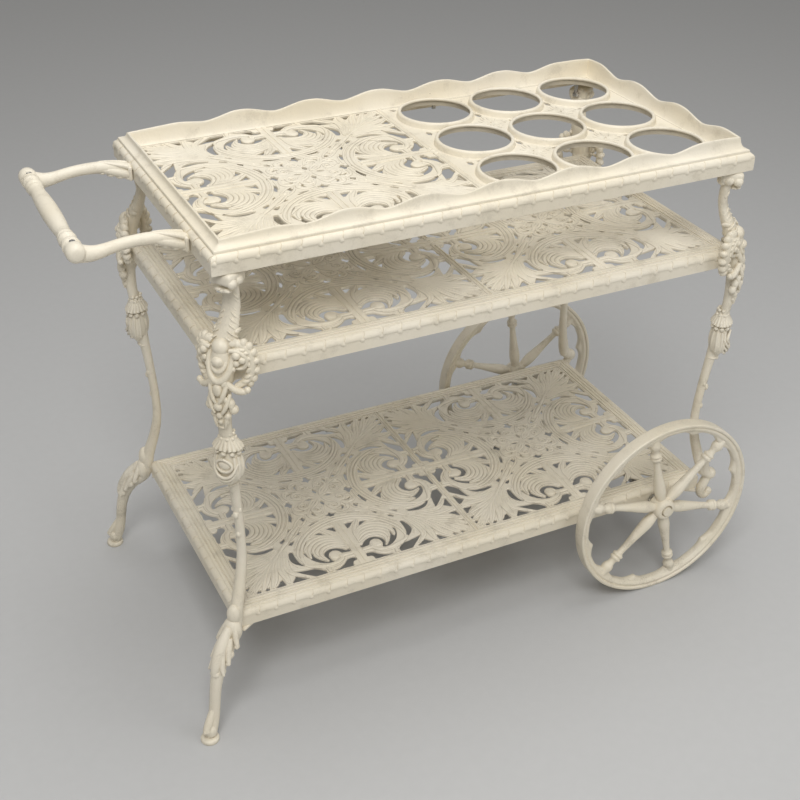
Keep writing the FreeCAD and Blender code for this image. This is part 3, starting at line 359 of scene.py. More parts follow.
PLAIN_HOLES = [
    [(57.5, -168), (64, -161), (71.5, -156), (79, -155.4), (88, -153.6), (102.5, -151), (97, -156),
     (90, -163), (82, -170), (76, -175.6), (68, -175.8), (57.5, -175.6)],
    [(8.5, -78), (15, -77.2), (24, -78.7), (17.8, -84.8), (11.2, -92), (8.7, -92)],
    [(33, -81.5), (37, -82.3), (44, -86), (35.2, -89.2), (27, -93.8), (29.4, -87)],
    [(59.5, -97), (66.5, -102.4), (72.5, -112), (69, -110.5), (63.5, -104.5)],
    [(17, -59.6), (24, -55.8), (31, -56), (43, -61.2), (38.5, -64.2), (29, -62.4)],
    [(56, -70.4), (63, -68.8), (71, -75.6), (62, -75.2)],
    [(74, -85.4), (80, -86), (85.8, -92.6), (82, -95.8), (77.4, -92)],
    [(85, -174), (93, -168.6), (101, -161.6), (104.6, -166), (110.4, -173), (110, -175.6), (97, -175.8),
     (86, -175.6)],
    [(121, -160.6), (124.6, -162), (129.8, -168.6), (136.4, -174.6), (135, -175.7), (127, -175.8),
     (121, -175.5), (119.8, -172)],
    [(143.6, -169.4), (147.6, -168), (152, -174.6), (150, -175.7), (145.6, -175.5)],
    [(156.5, -169.8), (161, -169), (164.4, -174.8), (162, -175.6), (158, -175.4)],
    [(11.6, -29.8), (13.2, -28.6), (15.4, -30), (14.8, -32.2), (12.4, -32.2)],
    [(22.8, -32.4), (25.6, -33.4), (26.2, -38.6), (23.4, -43), (20, -44), (22.6, -38.8)],
]
AXIS_HOLES = [
    [(0, -41), (2.4, -44.6), (8.4, -47), (9, -49.4), (4.2, -52), (3, -55.4), (1.8, -60), (-1.8, -60),
     (-3, -55.4), (-4.2, -52), (-9, -49.4), (-8.4, -47), (-2.4, -44.6)],
    [(0, -9.5), (2.2, -12), (3.4, -15.5), (2.2, -19.6), (0, -23), (-2.2, -19.6), (-3.4, -15.5),
     (-2.2, -12)],
]
DIAGONAL_HOLES = [
    [(37.4, -41), (40.6, -40.6), (42, -36.8), (45, -40.2), (48.8, -41.4), (46, -44.4), (44.6, -48.4),
     (41.2, -46), (36.8, -44.6)],
]


# Height of the round motif's middle in the drawing.
MOTIF_UP = -150


def ring_arc(radius, start, stop, thick):
    """Part of the motif's ring, its angles in degrees from the tile's middle line."""
    spots = [math.radians(start + (stop - start) * k / 6) for k in range(7)]
    return [(radius * math.sin(a), MOTIF_UP + radius * math.cos(a), thick) for a in spots]


# Raised lines as (across, up, half width): fluted leaf and scroll, broad leaves, then fine lines.
FLUTES = [
    [(9, -131.5, 1.2), (15, -128, 2), (23, -121.2, 2.6), (33, -119.4, 2.9), (43, -122, 2.9),
     (50, -129, 2.9), (51.5, -138, 2.4), (48, -146, 1.6), (45.6, -150, 0.8)],
    [(9.8, -127.5, 1.2), (15, -121.5, 2.2), (23, -114.8, 2.8), (34, -112.8, 3), (45, -115.3, 3),
     (53, -122, 3), (56.5, -130, 2.4), (54.5, -138, 1.2)],
    [(10.2, -124.5, 1.2), (15, -116, 2.2), (23, -108.8, 2.8), (35, -106.3, 3), (47, -108.8, 3),
     (56, -116, 2.8), (60, -123.5, 1.8), (60.6, -128, 0.9)],
    [(10.5, -121.5, 1.2), (15, -110.5, 2.2), (23.5, -102.8, 2.8), (35.5, -100.1, 3), (48.5, -102.3, 3),
     (59, -110, 3), (65, -120, 2.6), (66.3, -132, 1.1)],
    [(10.7, -118.5, 1.2), (15, -105.5, 2), (24, -97.4, 2.5), (36, -94, 2.7), (49.5, -96.3, 2.8),
     (61, -103.3, 2.6), (68, -112.5, 1.6), (71, -117, 0.9)],
    [(10.8, -115.5, 1.2), (14, -104, 2), (19, -95, 2.4), (24.5, -87, 2.4), (29.8, -79, 1.2)],
    [(10.8, -112, 1), (12.8, -101.5, 1.5), (16.2, -94, 1.6), (21, -87, 1)],
    [(40, -90.6, 1.2), (48, -90.4, 2.2), (56, -92, 2.2), (63, -96.5, 1.2)],
    # The scroll's stem under the leaf, and its bar to the middle strip.
    [(80.5, -146, 2.2), (77, -152.5, 2.6), (68, -155.6, 3), (57, -159, 3.4), (47, -161.6, 3.6),
     (36, -160.8, 3.6), (27, -156, 3.4), (23, -149, 3), (24.5, -141.5, 2.2), (30, -137.5, 1.4)],
    [(70, -157.8, 1.2), (60, -162, 1.8), (50, -166, 1.8), (40, -166.8, 1.4), (30, -163, 1)],
    [(7.5, -149.5, 3), (16, -149.5, 3.2), (28, -149, 3.4)],
    [(54, -163, 2.2), (53, -169, 2.8), (52, -176, 3)],
    # Small foliage in the middle.
    [(3.8, -5, 1.4), (6.6, -14, 2), (13, -19.6, 2.4), (21.4, -23, 2.5), (22.8, -33.4, 2.5),
     (14, -38.4, 2.4), (5.6, -33, 2.1), (7.2, -24.4, 1.8), (15, -25.4, 1.4), (16.6, -29, 1)],
    [(2.6, -24, 1.2), (4.4, -31, 1.7), (6.6, -38, 1.7), (12, -43, 1.2)],
    [(27, -28.5, 1.2), (34, -36, 2.3), (32.6, -46.6, 2.4), (22, -50.6, 2.2), (11, -46.5, 1.2)],
    [(36, -37, 1.1), (37.4, -48.6, 2), (46.4, -55, 2.1), (55, -62.4, 1.2)],
    [(8, -53, 1.1), (15, -53.6, 1.7), (27, -53.2, 1.6), (37, -56.6, 1)],
    [(48, -50, 1.4), (57, -64, 1.9), (70, -80.5, 1.8), (81, -84.5, 1)],
]
LEAVES = [
    [(95.5, -103, 1.8), (101, -118, 3.4), (106, -135, 4.4), (107.2, -149, 4.4), (103, -160, 3.4),
     (89, -171, 1.2)],
    [(101, -106, 1.8), (109.5, -119, 3.4), (115.4, -135, 4.8), (116.6, -150, 5), (115, -163, 4.2),
     (115.6, -175, 1.6)],
    [(108, -112, 1.8), (118, -122.6, 3.4), (125, -137, 4.8), (129, -151, 5), (133.4, -163, 4.2),
     (140.6, -175, 1.6)],
    [(117, -120, 1.8), (127.6, -128.6, 3.4), (135.6, -140.6, 4.6), (142, -153, 4.8), (148.4, -164, 4),
     (154.6, -175, 1.6)],
    [(128, -131, 1.6), (138.6, -138.4, 3), (147, -148.6, 4.2), (154.4, -158, 4.2), (161.4, -166, 3.4),
     (168, -174.5, 1.4)],
]
LINES = [
    ring_arc(82.6, 0, 80, 2.4) + [(79, -148, 1.6)],
    ring_arc(87.8, 0, 66, 2.4) + [(84, -126, 1.8), (81.6, -138, 1.2), (76, -149, 0.8)],
    ring_arc(93, 0, 46, 1.6) + [(75, -98, 1.4), (82.4, -108, 1)],
    [(97, -109, 0.9), (99.3, -121, 1.1), (98, -136, 1.1), (92, -146.5, 1)],
    [(0, -178.3, 1.1), (90, -178.3, 1.1), (178, -178.3, 1.1)],
]
DIAGONAL_LEAVES = [
    [(3, -3, 1.6), (14, -14, 2.8), (25, -25, 2.8), (35, -35, 1.4)],
    [(50, -50, 1.4), (62, -62, 3.2), (76, -76, 3.8), (90, -90, 4.2), (100, -100, 2.4)],
    [(96, -96, 2), (118, -118, 2.8), (139, -139, 3), (157, -157, 2.6), (173, -173, 1.4)],
]
# Bosses as (across, up, radius, height).
BOSSES = [(32.2, -142, 9, 1.5), (30.5, -40.5, 3, 1.7)]
DIAGONAL_BOSSES = [(56, -56, 3, 2)]


def halved(leaf):
    """A leaf as two ribs side by side with a groove between them."""
    for side in (-1, 1):
        rib = []
        for k, (x, y, r) in enumerate(leaf):
            before, after = leaf[max(k - 1, 0)], leaf[min(k + 1, len(leaf) - 1)]
            run, rise = after[0] - before[0], after[1] - before[1]
            off = 0.52 * side * r / math.hypot(run, rise)
            rib.append((x - rise * off, y + run * off, r * 0.64))
        yield rib


LEAF_RIBS = [rib for leaf in LEAVES for rib in halved(leaf)]


def spread(points, ways):
    """Copies of a drawing, mirrored to the other parts of the tile."""
    for a, b, swap in ways:
        yield [(p[1] * b, p[0] * a, *p[2:]) if swap else (p[0] * a, p[1] * b, *p[2:]) for p in points]


def note_raised(verts, layer, low, high):
    """Notes how far points stand up from low (0) to high (1), so that the hollows get painted shade and some
    dirt.
    """
    for vert in verts:
        vert[layer] = min(max((vert.co.z - low) / (high - low), 0), 1)


def pierced_plate(bm, half, holes, low, high):
    """A flat plate with holes and eased edges. A hole is (points, smooth)."""
    ease = 0.7
    curve = bpy.data.curves.new("plate", "CURVE")
    curve.dimensions = "2D"
    curve.fill_mode = "BOTH"
    curve.extrude = (high - low) / 2 - ease
    curve.bevel_depth = ease
    curve.bevel_resolution = 0
    curve.offset = -ease
    curve.resolution_u = 3
    edge = [(-half[0], -half[1]), (half[0], -half[1]), (half[0], half[1]), (-half[0], half[1])]
    for points, smooth in [(edge, False)] + holes:
        line = curve.splines.new("BEZIER" if smooth else "POLY")
        if smooth:
            line.bezier_points.add(len(points) - 1)
            for knot, (x, y) in zip(line.bezier_points, points):
                knot.co = (x, y, 0)
                knot.handle_left_type = knot.handle_right_type = "AUTO"
        else:
            line.points.add(len(points) - 1)
            for knot, (x, y) in zip(line.points, points):
                knot.co = (x, y, 0, 1)
        line.use_cyclic_u = True
    made = pour(bm, curve, smooth=False)
    bmesh.ops.translate(bm, vec=(0, 0, (low + high) / 2), verts=made)
    return made


# Half the drawing's size, and a tile's plain margins at its ends and along its sides.
DRAWN_HALF = 178.3
END_MARGIN, SIDE_MARGIN = 3, 2.5
# The twin strips along the middle lines: left edges, width, and the stretch they cover.
STRIP_LEFTS, STRIP_WIDTH = (-7.6, 0.7), 6.9
STRIP_START, STRIP_STOP = -178, -73


def scroll_tile(half):
    """The pierced tile with its raised scrolls, about its own middle."""
    bm = bmesh.new()
    layer = bm.verts.layers.float.new("raised")
    fit_x, fit_y = (half[0] - END_MARGIN) / DRAWN_HALF, (half[1] - SIDE_MARGIN) / DRAWN_HALF
    holes = []
    for drawing, ways, smooth in (
            (SMOOTH_HOLES, EIGHTHS, True), (PLAIN_HOLES, EIGHTHS, False),
            (AXIS_HOLES, ON_AXES, False), (DIAGONAL_HOLES, ON_DIAGONALS, False)):
        for shape in drawing:
            holes += [([(x * fit_x, y * fit_y) for x, y in copy], smooth) for copy in spread(shape, ways)]
    # The walls of the holes grow darker towards the underside: painted shade, with some dirt.
    note_raised(pierced_plate(bm, half, holes, TILE_LOW, TILE_HIGH), layer, TILE_LOW - 1.4, TILE_HIGH)
    for drawing, ways, broad, steep in (
            (FLUTES, EIGHTHS, 1.16, 0.52), (LEAF_RIBS, EIGHTHS, 1.08, 0.6),
            (LINES, EIGHTHS, 1.05, 0.62), (DIAGONAL_LEAVES, ON_DIAGONALS, 1, 0.55)):
        lines = [[(x * fit_x, y * fit_y, 0, r * broad) for x, y, r in copy]
                 for shape in drawing for copy in spread(shape, ways)]
        raised = strands(bm, lines, sides=1, steps=4)
        bmesh.ops.scale(bm, vec=(1, 1, steep), verts=raised)
        bmesh.ops.translate(bm, vec=(0, 0, TILE_HIGH), verts=raised)
        note_raised(raised, layer, TILE_HIGH, TILE_HIGH + 1)
    for turn in range(4):
        place = Matrix.Diagonal((fit_x, fit_y, 1, 1)) @ Matrix.Rotation(turn * math.pi / 2, 4, "Z")
        for left in STRIP_LEFTS:
            strip = rounded_block(bm, (left, STRIP_START, TILE_HIGH - 2),
                                  (left + STRIP_WIDTH, STRIP_STOP, TILE_HIGH + 0.9), 0.5, place)
            note_raised(strip, layer, TILE_HIGH - 0.5, TILE_HIGH + 0.5)
    for drawing, ways in ((BOSSES, EIGHTHS), (DIAGONAL_BOSSES, ON_DIAGONALS)):
        for x, y, radius, tall in (copy[0] for boss in drawing for copy in spread([boss], ways)):
            boss_top = knob(bm, (x * fit_x, y * fit_y, TILE_HIGH), (radius, radius, tall), 14, 8)
            note_raised(boss_top, layer, TILE_HIGH - 1, TILE_HIGH)
    return as_mesh(bm)


def scroll_panel(name, surface, x, floor, node):
    """A tile set in its half of a deck."""
    bm = bmesh.new()
    stamp(bm, surface, Matrix.Translation((x, 0, floor)), keep=True)
    piece(name, bm, "cart", CARVED_PAINT, node)


def circle(x, y, radius, count=56):
    """Points round a circle."""
    turn = [math.tau * k / count for k in range(count)]
    return [(x + radius * math.cos(a), y + radius * math.sin(a)) for a in turn]


def slot_shape(x, y, length, width, angle):
    """A thin pointed slot."""
    c, s = math.cos(math.radians(angle)), math.sin(math.radians(angle))
    drawn = [(-length / 2, 0), (-length / 4, width / 2), (length / 4, width / 2), (length / 2, 0),
             (length / 4, -width / 2), (-length / 4, -width / 2)]
    return [(x + a * c - b * s, y + a * s + b * c) for a, b in drawn]


# Small slots of the bottle half as (across, up, length, width, angle), drawn for one quarter.
BOTTLE_SLOTS = [
    (59, 21, 17, 7, 90), (59, 97, 17, 7, 90), (59, 139, 17, 7, 90), (60, 158, 15, 7, 0),
    (21, 59, 17, 7, 0), (97, 59, 17, 7, 0), (139, 59, 17, 7, 0), (158, 60, 15, 7, 90),
    (164, 164, 10, 8, 45),
]
# A ring's section as (height over the plate, radius): over the lip, down outside and up inside.
RING = [(5, 51), (6.2, 50), (8, 50.3), (9, 51.6), (8.7, 53.4), (7.5, 54.8), (5.5, 55.6), (1.6, 56),
        (0.5, 56.6), (-1, 57), (-3.4, 57), (-3.4, 55.2), (4.4, 54.8), (5, 51)]
RING_SEAT = 56
# The skirt inside a ring lies in shade under the lip.
SKIRT_TOP, SKIRT_RADIUS, SKIRT_SHADE = 4.7, 55.5, 0.25
# Fine lines along the panel's edges: their ends, their places across and along, and their radius.
EDGE_REACH, EDGE_ACROSS, EDGE_ROWS, EDGE_RADIUS = 178, 180.5, (177.8, 174.6), 1.2


def leaf_star(x, y):
    """Leaves between four rings: three fingers along the rows and one on each diagonal."""
    lines = []
    for k in range(8):
        c, s = math.cos(math.pi / 4 * k), math.sin(math.pi / 4 * k)
        for off, reach in ((-5, 22), (0, 27), (5, 22)) if k % 2 == 0 else ((0, 19),):
            lines.append([(x + 2 * c, y + 2 * s, 0, 1.4),
                          (x + reach * 0.5 * c - off * s, y + reach * 0.5 * s + off * c, 0, 3),
                          (x + reach * c - off * s, y + reach * s + off * c, 0, 1)])
    return lines


def bottle_panel():
    """The bottle half: nine raised rings on a pierced floor with small leaves between them."""
    bm = bmesh.new()
    layer = bm.verts.layers.float.new("raised")
    spots = [(RING_PITCH * c, RING_PITCH * r) for c in (-1, 0, 1) for r in (-1, 0, 1)]
    holes = [(circle(x, y, RING_SEAT), False) for x, y in spots]
    for x, y, length, width, angle in BOTTLE_SLOTS:
        for a, b in ((1, 1), (-1, 1), (1, -1), (-1, -1)):
            holes.append((slot_shape(x * a, y * b, length, width, angle * a * b), False))
    pierced_plate(bm, TRAY_TILE, holes, -3.4, 0)
    for x, y in spots:
        turned(bm, RING, Matrix.Translation((x, y, 0)), 56)
    for vert in bm.verts:
        inside = any(math.hypot(vert.co.x - x, vert.co.y - y) < SKIRT_RADIUS for x, y in spots)
        vert[layer] = SKIRT_SHADE if inside and vert.co.z < SKIRT_TOP else 1
    lines = []
    for a in (-1, 1):
        for b in (-1, 1):
            lines += leaf_star(a * RING_PITCH / 2, b * RING_PITCH / 2)
    for a in (-1, 1):
        end = a * EDGE_ACROSS
        lines.append(straight((end, -EDGE_REACH, 0), (end, EDGE_REACH, 0), EDGE_RADIUS))
        for row in EDGE_ROWS:
            lines.append(straight((-EDGE_REACH, a * row, 0), (EDGE_REACH, a * row, 0), EDGE_RADIUS))
    raised = strands(bm, lines, sides=1, steps=3)
    bmesh.ops.scale(bm, vec=(1, 1, 0.75), verts=raised)
    note_raised(raised, layer, 0, 1)
    bmesh.ops.translate(bm, vec=(TRAY_X + TRAY_TILE[0], 0, TRAY_LEVEL + TRAY_FLOOR), verts=bm.verts)
    piece("tray_bottle_tile", bm, "cart", CARVED_PAINT, "tray_bottle_panel")


# The border castings. A block of the cut bead has this section, as (inset, height).
BEAD = [(1.4, 15.3), (0.3, 15.6), (0.05, 16.8), (0.2, 18.5), (0.8, 20.3), (1.9, 22), (3.6, 23.4),
        (5.6, 24.2), (7, 24.3), (7.4, 23), (4, 15.6)]
BLOCK_GAP, BLOCK_SLANT, SLANT_FROM = 1.7, 0.45, 16
# The bead stops short of the corners, and its first block starts a little before that.
BEAD_STOP, BEAD_LEAD = 7, 2


def bead_block():
    """One block of the cut bead, its ends on a slant, with the small drop under its joint."""
    bm = bmesh.new()
    verts = [bm.verts.new((1, inset, height)) for inset, height in BEAD]
    end = bmesh.ops.contextual_create(bm, geom=verts)["faces"]
    grown = bmesh.ops.extrude_face_region(bm, geom=end, use_keep_orig=True)["geom"]
    moved = [g for g in grown if isinstance(g, bmesh.types.BMVert)]
    bmesh.ops.translate(bm, vec=(BLOCK_PITCH - BLOCK_GAP, 0, 0), verts=moved)
    for vert in bm.verts:
        vert.co.x += (vert.co.z - SLANT_FROM) * BLOCK_SLANT
    for face in bm.faces:
        face.smooth = len(face.verts) == 4
    place = Matrix.Translation((0.2, 1.2, 15)) @ Matrix.Diagonal((4.2, 2, 4, 1))
    drop = bmesh.ops.create_icosphere(bm, subdivisions=1, radius=1, matrix=place)["verts"]
    for face in {f for v in drop for f in v.link_faces}:
        face.smooth = True
    return as_mesh(bm)


def cut_bead(bm, length, width, block):
    """Blocks of the bead along all four sides."""
    for side in range(4):
        run, reach = (length, width) if side % 2 == 0 else (width, length)
        count = round((run - 2 * BEAD_STOP) / BLOCK_PITCH)
        pitch = (run - 2 * BEAD_STOP) / count
        turn = Matrix.Rotation(math.pi / 2 * side, 4, "Z")
        stretch = Matrix.Diagonal((pitch / BLOCK_PITCH, 1, 1, 1))
        for k in range(count):
            at = Matrix.Translation((-run / 2 + BEAD_STOP + pitch * k - BEAD_LEAD, -reach / 2, 0))
            stamp(bm, block, turn @ at @ stretch, keep=True)


# Sections of the two borders as (inset, height). The grooves' floors lie at one height of their own.
GROOVE = 24.3
FASCIA = [(1.1, 0), (1.1, 15), (1.2, 15.6), (1.5, 16), (1.2, 18), (1.6, 19.9), (2.6, 21.5), (4.2, 22.8),
          (6, 23.4)]
SHELF_PROFILE = FASCIA + [
    (7.3, GROOVE), (8, GROOVE), (8.2, 25), (8.9, 25.8), (11.9, 26), (12.7, 25.3), (12.9, GROOVE),
    (14, GROOVE), (14.2, 25.3), (15, 26), (17.6, 26), (18.4, 25.3), (18.6, GROOVE),
    (19.6, GROOVE), (19.8, 25.1), (20.6, 25.7), (23.2, 25.7), (24, 25.2), (24, 19),
    (20, 12.5), (5, 12.5), (4.6, 11), (4.6, 0)]
TRAY_PROFILE = FASCIA + [
    (6.6, GROOVE), (6.9, GROOVE), (7, 26.8), (7.5, 27.9), (8.6, 28.4), (10, 28), (12.6, 27), (16, 22),
    (18, 18.5), (24, 17.8), (24, 13), (20, 12), (5, 12.5), (4.6, 11), (4.6, 0)]


def seam(bm, half_width, floor):
    """The groove between the two halves, with a thin ridge on each side and three bosses in its middle."""
    top = floor - 0.6
    ridges = [straight((x, -half_width, top), (x, half_width, top), 1.3) for x in (-2.2, 2.2)]
    strands(bm, ridges, sides=2, steps=2)
    rounded_block(bm, (-3.4, -half_width, floor - 5), (3.4, half_width, floor - 1.6), 0.4)
    for y, radius in ((-9, 3.6), (0, 4.6), (9, 3.6)):
        knob(bm, (0, y, top), (radius, radius, 1.8), 12, 7)


# How dark the grooves' floors are painted, as painted shade; 1 is the plain paint.
GROOVE_SHADE = 0.7


def border_frame(name, size, level, profile, floor, block, node):
    """A fascia with its cut bead, the fine ridges inside it and the tray's gallery."""
    length, width = size
    bm = bmesh.new()
    layer = bm.verts.layers.float.new("raised")
    moulding(bm, length, width, profile)
    cut_bead(bm, length, width, block)
    seam(bm, width / 2 - BORDER, floor)
    if node == "tray_frame":
        gallery(bm)
    # The grooves' floors are noted so that they get painted shade.
    for vert in bm.verts:
        vert[layer] = GROOVE_SHADE if abs(vert.co.z - GROOVE) < 0.01 else 1
    bmesh.ops.translate(bm, vec=(TRAY_X, 0, level), verts=bm.verts)
    piece(name, bm, "cart", CARVED_PAINT, node)


def scallop(distance, dips):
    """Share of the gallery's full height at a distance from the side's middle."""
    nearest = min(abs(distance - GALLERY_PITCH * (k - (dips - 1) / 2)) for k in range(dips))
    return math.sin(math.pi / 2 * min(nearest / 50, 1)) ** 1.7


# Where the outer cove and the crown end, as shares of the way over the wall, and the heights of its feet.
COVE_END, CROWN_END = 0.3, 0.56
OUTER_FOOT, INNER_FOOT = 28.2, 17.8


def wall_section(v):
    """Inset and share of the height on the way over the wall, outside first."""
    if v < COVE_END:
        a = math.pi / 2 * v / COVE_END
        return 8.6 + 8.6 * math.sin(a), 0.9 * (1 - math.cos(a))
    if v <= CROWN_END:
        a = math.pi * (v - COVE_END) / (CROWN_END - COVE_END)
        return 18.8 - 1.6 * math.cos(a), 0.9 + 0.1 * math.sin(a)
    a = math.pi / 2 * (v - CROWN_END) / (1 - CROWN_END)
    return 20.4 + 7.2 * (1 - math.cos(a)), 0.95 * (1 - math.sin(a))


def gallery_side(bm, run, reach, dips, turn):
    """One side of the wall. Its scallops fade out towards the handle end, and ease at the corners."""
    def place(u, v):
        inset, share = wall_section(v)
        along = (2 * u - 1) * (run / 2 - inset)
        top = GALLERY_LOW
        if dips:
            from_handle = run / 2 - (along if turn == 180 else -along)
            fade = 1 if turn == 90 else min(max(from_handle - 20, 0) / 150, 1)
            corner = 1 - min((run / 2 - inset - abs(along)) / 34, 1)
            top += (GALLERY_HIGH - GALLERY_LOW) * scallop(along, dips) * fade * (1 - 0.2 * corner ** 2)
        foot = OUTER_FOOT if v <= CROWN_END else INNER_FOOT
        spot = Vector((along, -reach / 2 + inset, foot + (top - foot) * share))
        return Matrix.Rotation(math.radians(turn), 3, "Z") @ spot
    skin(bm, 150 if run > 500 else 80, 18, place)


def gallery(bm):
    """The thin scalloped wall round the tray, coved inside, and plain and low at the handle end."""
    gallery_side(bm, TRAY_LENGTH, TRAY_WIDTH, 6, 0)
    gallery_side(bm, TRAY_WIDTH, TRAY_LENGTH, 3, 90)
    gallery_side(bm, TRAY_LENGTH, TRAY_WIDTH, 6, 180)
    gallery_side(bm, TRAY_WIDTH, TRAY_LENGTH, 0, 270)


# Legs, in their own frame: x across the leg, y outward from the tray's corner, z up.
# The limb as (outward, height, half depth, width to depth).
LIMB = [(-30, 682, 9, 1.3), (-34, 664, 7, 1.5), (-38.5, 638, 5.6, 1.95), (-28, 612, 8.2, 1.75),
        (-17.5, 592, 11, 1.5), (-11, 572, 10.5, 1.3), (-7, 545, 10.5, 1.1), (-4, 512, 9, 1.2),
        (-5, 486, 7.6, 1.25), (-7, 470, 6.6, 1.35), (-10, 450, 7, 1.3), (-13, 425, 9, 1.1),
        (-16, 396, 7.6, 1), (-19.5, 370, 6.8, 1), (-24, 328, 6.3, 1), (-27, 283, 6.3, 1),
        (-25, 251, 6.9, 1), (-14, 213, 8, 1), (-3, 186, 9, 1), (0, 162, 9.5, 1)]
FOOT_LIMB = [(8, 144, 12, 1), (26, 134, 11.5, 1), (42, 110, 9.5, 1), (51, 79, 8, 1), (54, 48, 7.6, 1),
             (60, 24, 8.6, 1), (67, 9, 8, 1)]
# A wheel-end leg's limb stops above the bottom shelf, where its scroll takes over.
WHEEL_END_LIMB = LIMB[:-1] + [(-1, 178, 7, 1)]


def ramp(value, spots):
    """A number read off a line through (place, number) points."""
    for (a, first), (b, second) in zip(spots, spots[1:]):
        if value <= b:
            return first + (second - first) * max(value - a, 0) / (b - a)
    return spots[-1][1]


def limb(bm, line):
    """The leg's bare limb, broader than deep where it is a flat band."""
    made = strands(bm, [[(0, y, z, depth) for y, z, depth, wide in line]], sides=5, steps=7)
    spots = [(z, wide) for y, z, depth, wide in reversed(line)]
    for vert in made:
        vert.co.x *= ramp(vert.co.z, spots)


def both_sides(strokes):
    """Strokes and their mirror images across the leg."""
    return strokes + [[(-x, y, z, r) for x, y, z, r in stroke] for stroke in strokes]


def knobs(bm, bosses):
    """Pairs of bosses as (x, y, z, radii, lean), one on each side; a boss on the middle line stands alone."""
    for x, y, z, radii, lean in bosses:
        for side in (1, -1) if x else (1,):
            knob(bm, (x * side, y, z), radii, 12, 9, lean * side)


def capital(bm):
    """The leg's head under the tray: a block, rolls at its sides and a lip."""
    rounded_block(bm, (-15, -46, 667), (15, -14, 683.6), 5)
    knobs(bm, [(0, -41, 668, (14, 7, 6.5), 0), (13, -21, 671, (5.4, 7, 6.4), 0),
               (0, -23, 659.5, (10.5, 7.5, 3.2), 0), (6, -19, 661, (5.5, 4, 2.8), 0),
               (13.5, -33, 672, (4.6, 7, 6), 0)])


# The nicks along the neck: how many, the highest, and how far apart.
NICKS, NICK_TOP, NICK_PITCH = 9, 652, 6.6


def neck(bm):
    """The smooth band of the neck, nicked along both edges, with a small curl at its foot."""
    nicks = []
    for k in range(NICKS):
        z = NICK_TOP - NICK_PITCH * k
        middle = ramp(z, [(592, -16.5), (612, -28), (638, -38.5), (664, -34)])
        deep = ramp(z, [(592, 12), (612, 8.2), (638, 5.6), (664, 7)])
        wide = deep * ramp(z, [(592, 1.4), (612, 1.75), (638, 1.95), (664, 1.5)])
        nicks.append([(wide * 0.4, middle + deep * 0.95, z + 3.4, 0.8),
                      (wide * 0.8, middle + deep * 1.05, z - 0.5, 2.1),
                      (wide * 1.02, middle + deep * 0.25, z - 6.5, 1.5)])
    strands(bm, both_sides(nicks), sides=2, steps=4)
    knobs(bm, [(17.5, -15, 597, (5, 4.5, 3.6), 0.5), (14, -26, 606, (3, 7, 4), 0.3)])


# Height of the wings' middle.
WING_UP = 567


def cartouche(bm):
    """The knee's scrolled shield: two bosses in a swag, ribbed wings that sweep back, and small volutes."""
    knobs(bm, [(0, -9, 561, (15, 13, 36), 0), (0, -9, 589, (11.5, 10.5, 11.5), 0),
               (0, -0.5, 574, (8.4, 8, 7), 0), (0, -1, 536, (10.5, 8.4, 15), 0),
               (0, -1, 519, (12, 7.6, 14), 0), (0, 6, 537, (6.4, 4.4, 9), 0),
               (0, 6, 514.5, (6.4, 5, 6.6), 0), (0, 4, 501, (4.6, 4.6, 5), 0),
               (0, 2, 491, (4, 4, 4.4), 0), (16, -3, 509, (6.4, 6, 6.4), 0),
               (9, 0.5, 500, (4.6, 5, 5), 0), (6.6, 0, 490, (3.6, 4, 4.4), 0),
               (13.5, -1, 519, (5, 5.4, 7), -0.5), (32.5, -9.5, 537, (4.4, 4.4, 4.4), 0),
               (21.5, -6, 583.5, (5.4, 5, 5.2), 0), (27.5, -9.5, 577.5, (5, 5, 5), 0),
               (21, -6.5, 573, (4.4, 4.4, 4.4), 0), (17, -5, 565, (3.6, 4, 4), 0),
               (8, 3, 546, (4, 3.6, 6), 0.5), (0, -2.6, 481, (7, 6, 3), 0)])
    strands(bm, [
        [(-14, -15, 596, 2.6), (-17.5, -8, 576, 4), (-13, 1, 556, 4.4), (0, 6, 545, 4.6),
         (13, 1, 556, 4.4), (17.5, -8, 576, 4), (14, -15, 596, 2.6)],
        [(-9.5, -7, 582, 2), (-11, -1, 568, 3), (0, 7, 555.5, 3.6), (11, -1, 568, 3), (9.5, -7, 582, 2)],
    ], sides=3, steps=6)
    strands(bm, both_sides([
        [(12, -12, 594, 4.4), (22, -15, 597, 5.6), (31, -18, 588, 5.8), (35, -20, 571, 5.6),
         (34, -19, 555, 5.4), (28, -16, 544, 5.2), (18, -9, 538, 4.4)],
        [(13, -6, 588, 2.6), (22, -7, 590, 3.4), (31, -12, 583, 3.6), (32, -14, 571, 3.2),
         (26, -11, 563, 2.8), (20, -7, 566, 2)],
        [(9, 1, 548, 3.6), (16, -1, 540, 4.4), (24, -5, 534, 4.8), (31, -9, 534, 4.2),
         (33, -10, 539, 2.8)],
        [(6, 4, 528, 3.6), (13, 2, 520, 4.2), (17, -2, 511, 4), (15, -2, 504, 3)],
        [(11, 1, 547, 2.6), (10.4, 5.6, 537, 3.6), (6.4, 8.4, 526, 3.2), (2, 8, 520, 1.8)],
        [(13, -1, 531, 2.4), (13, 5, 521, 3.2), (8.8, 7.4, 511, 3), (4.6, 6.6, 505, 1.8)],
        [(9.6, -2, 508, 2.2), (9.4, 2.4, 499, 2.8), (7, 3.4, 490, 2.4), (5.4, 1.4, 482, 1.8)],
    ]), sides=3, steps=5)
    # Two rows of ribs round each wing.
    for turn in (108, 82, 57, 33, 10, -13, -37, -61):
        c, s = math.cos(math.radians(turn)), math.sin(math.radians(turn))
        across, up = 12.5 * c, 29 * s
        lean = math.atan2(across, up) if s > 0 else math.pi / 2 + math.atan2(-up, across)
        knobs(bm, [(24 + 13 * c, -17 - 6 * c, WING_UP + 28.6 * s, (5.2, 6.4, 6.8), lean),
                   (23.4 + 9.4 * c, -11.4 - 4.4 * c, WING_UP + 23.4 * s, (6.2, 4.4, 3), lean)])


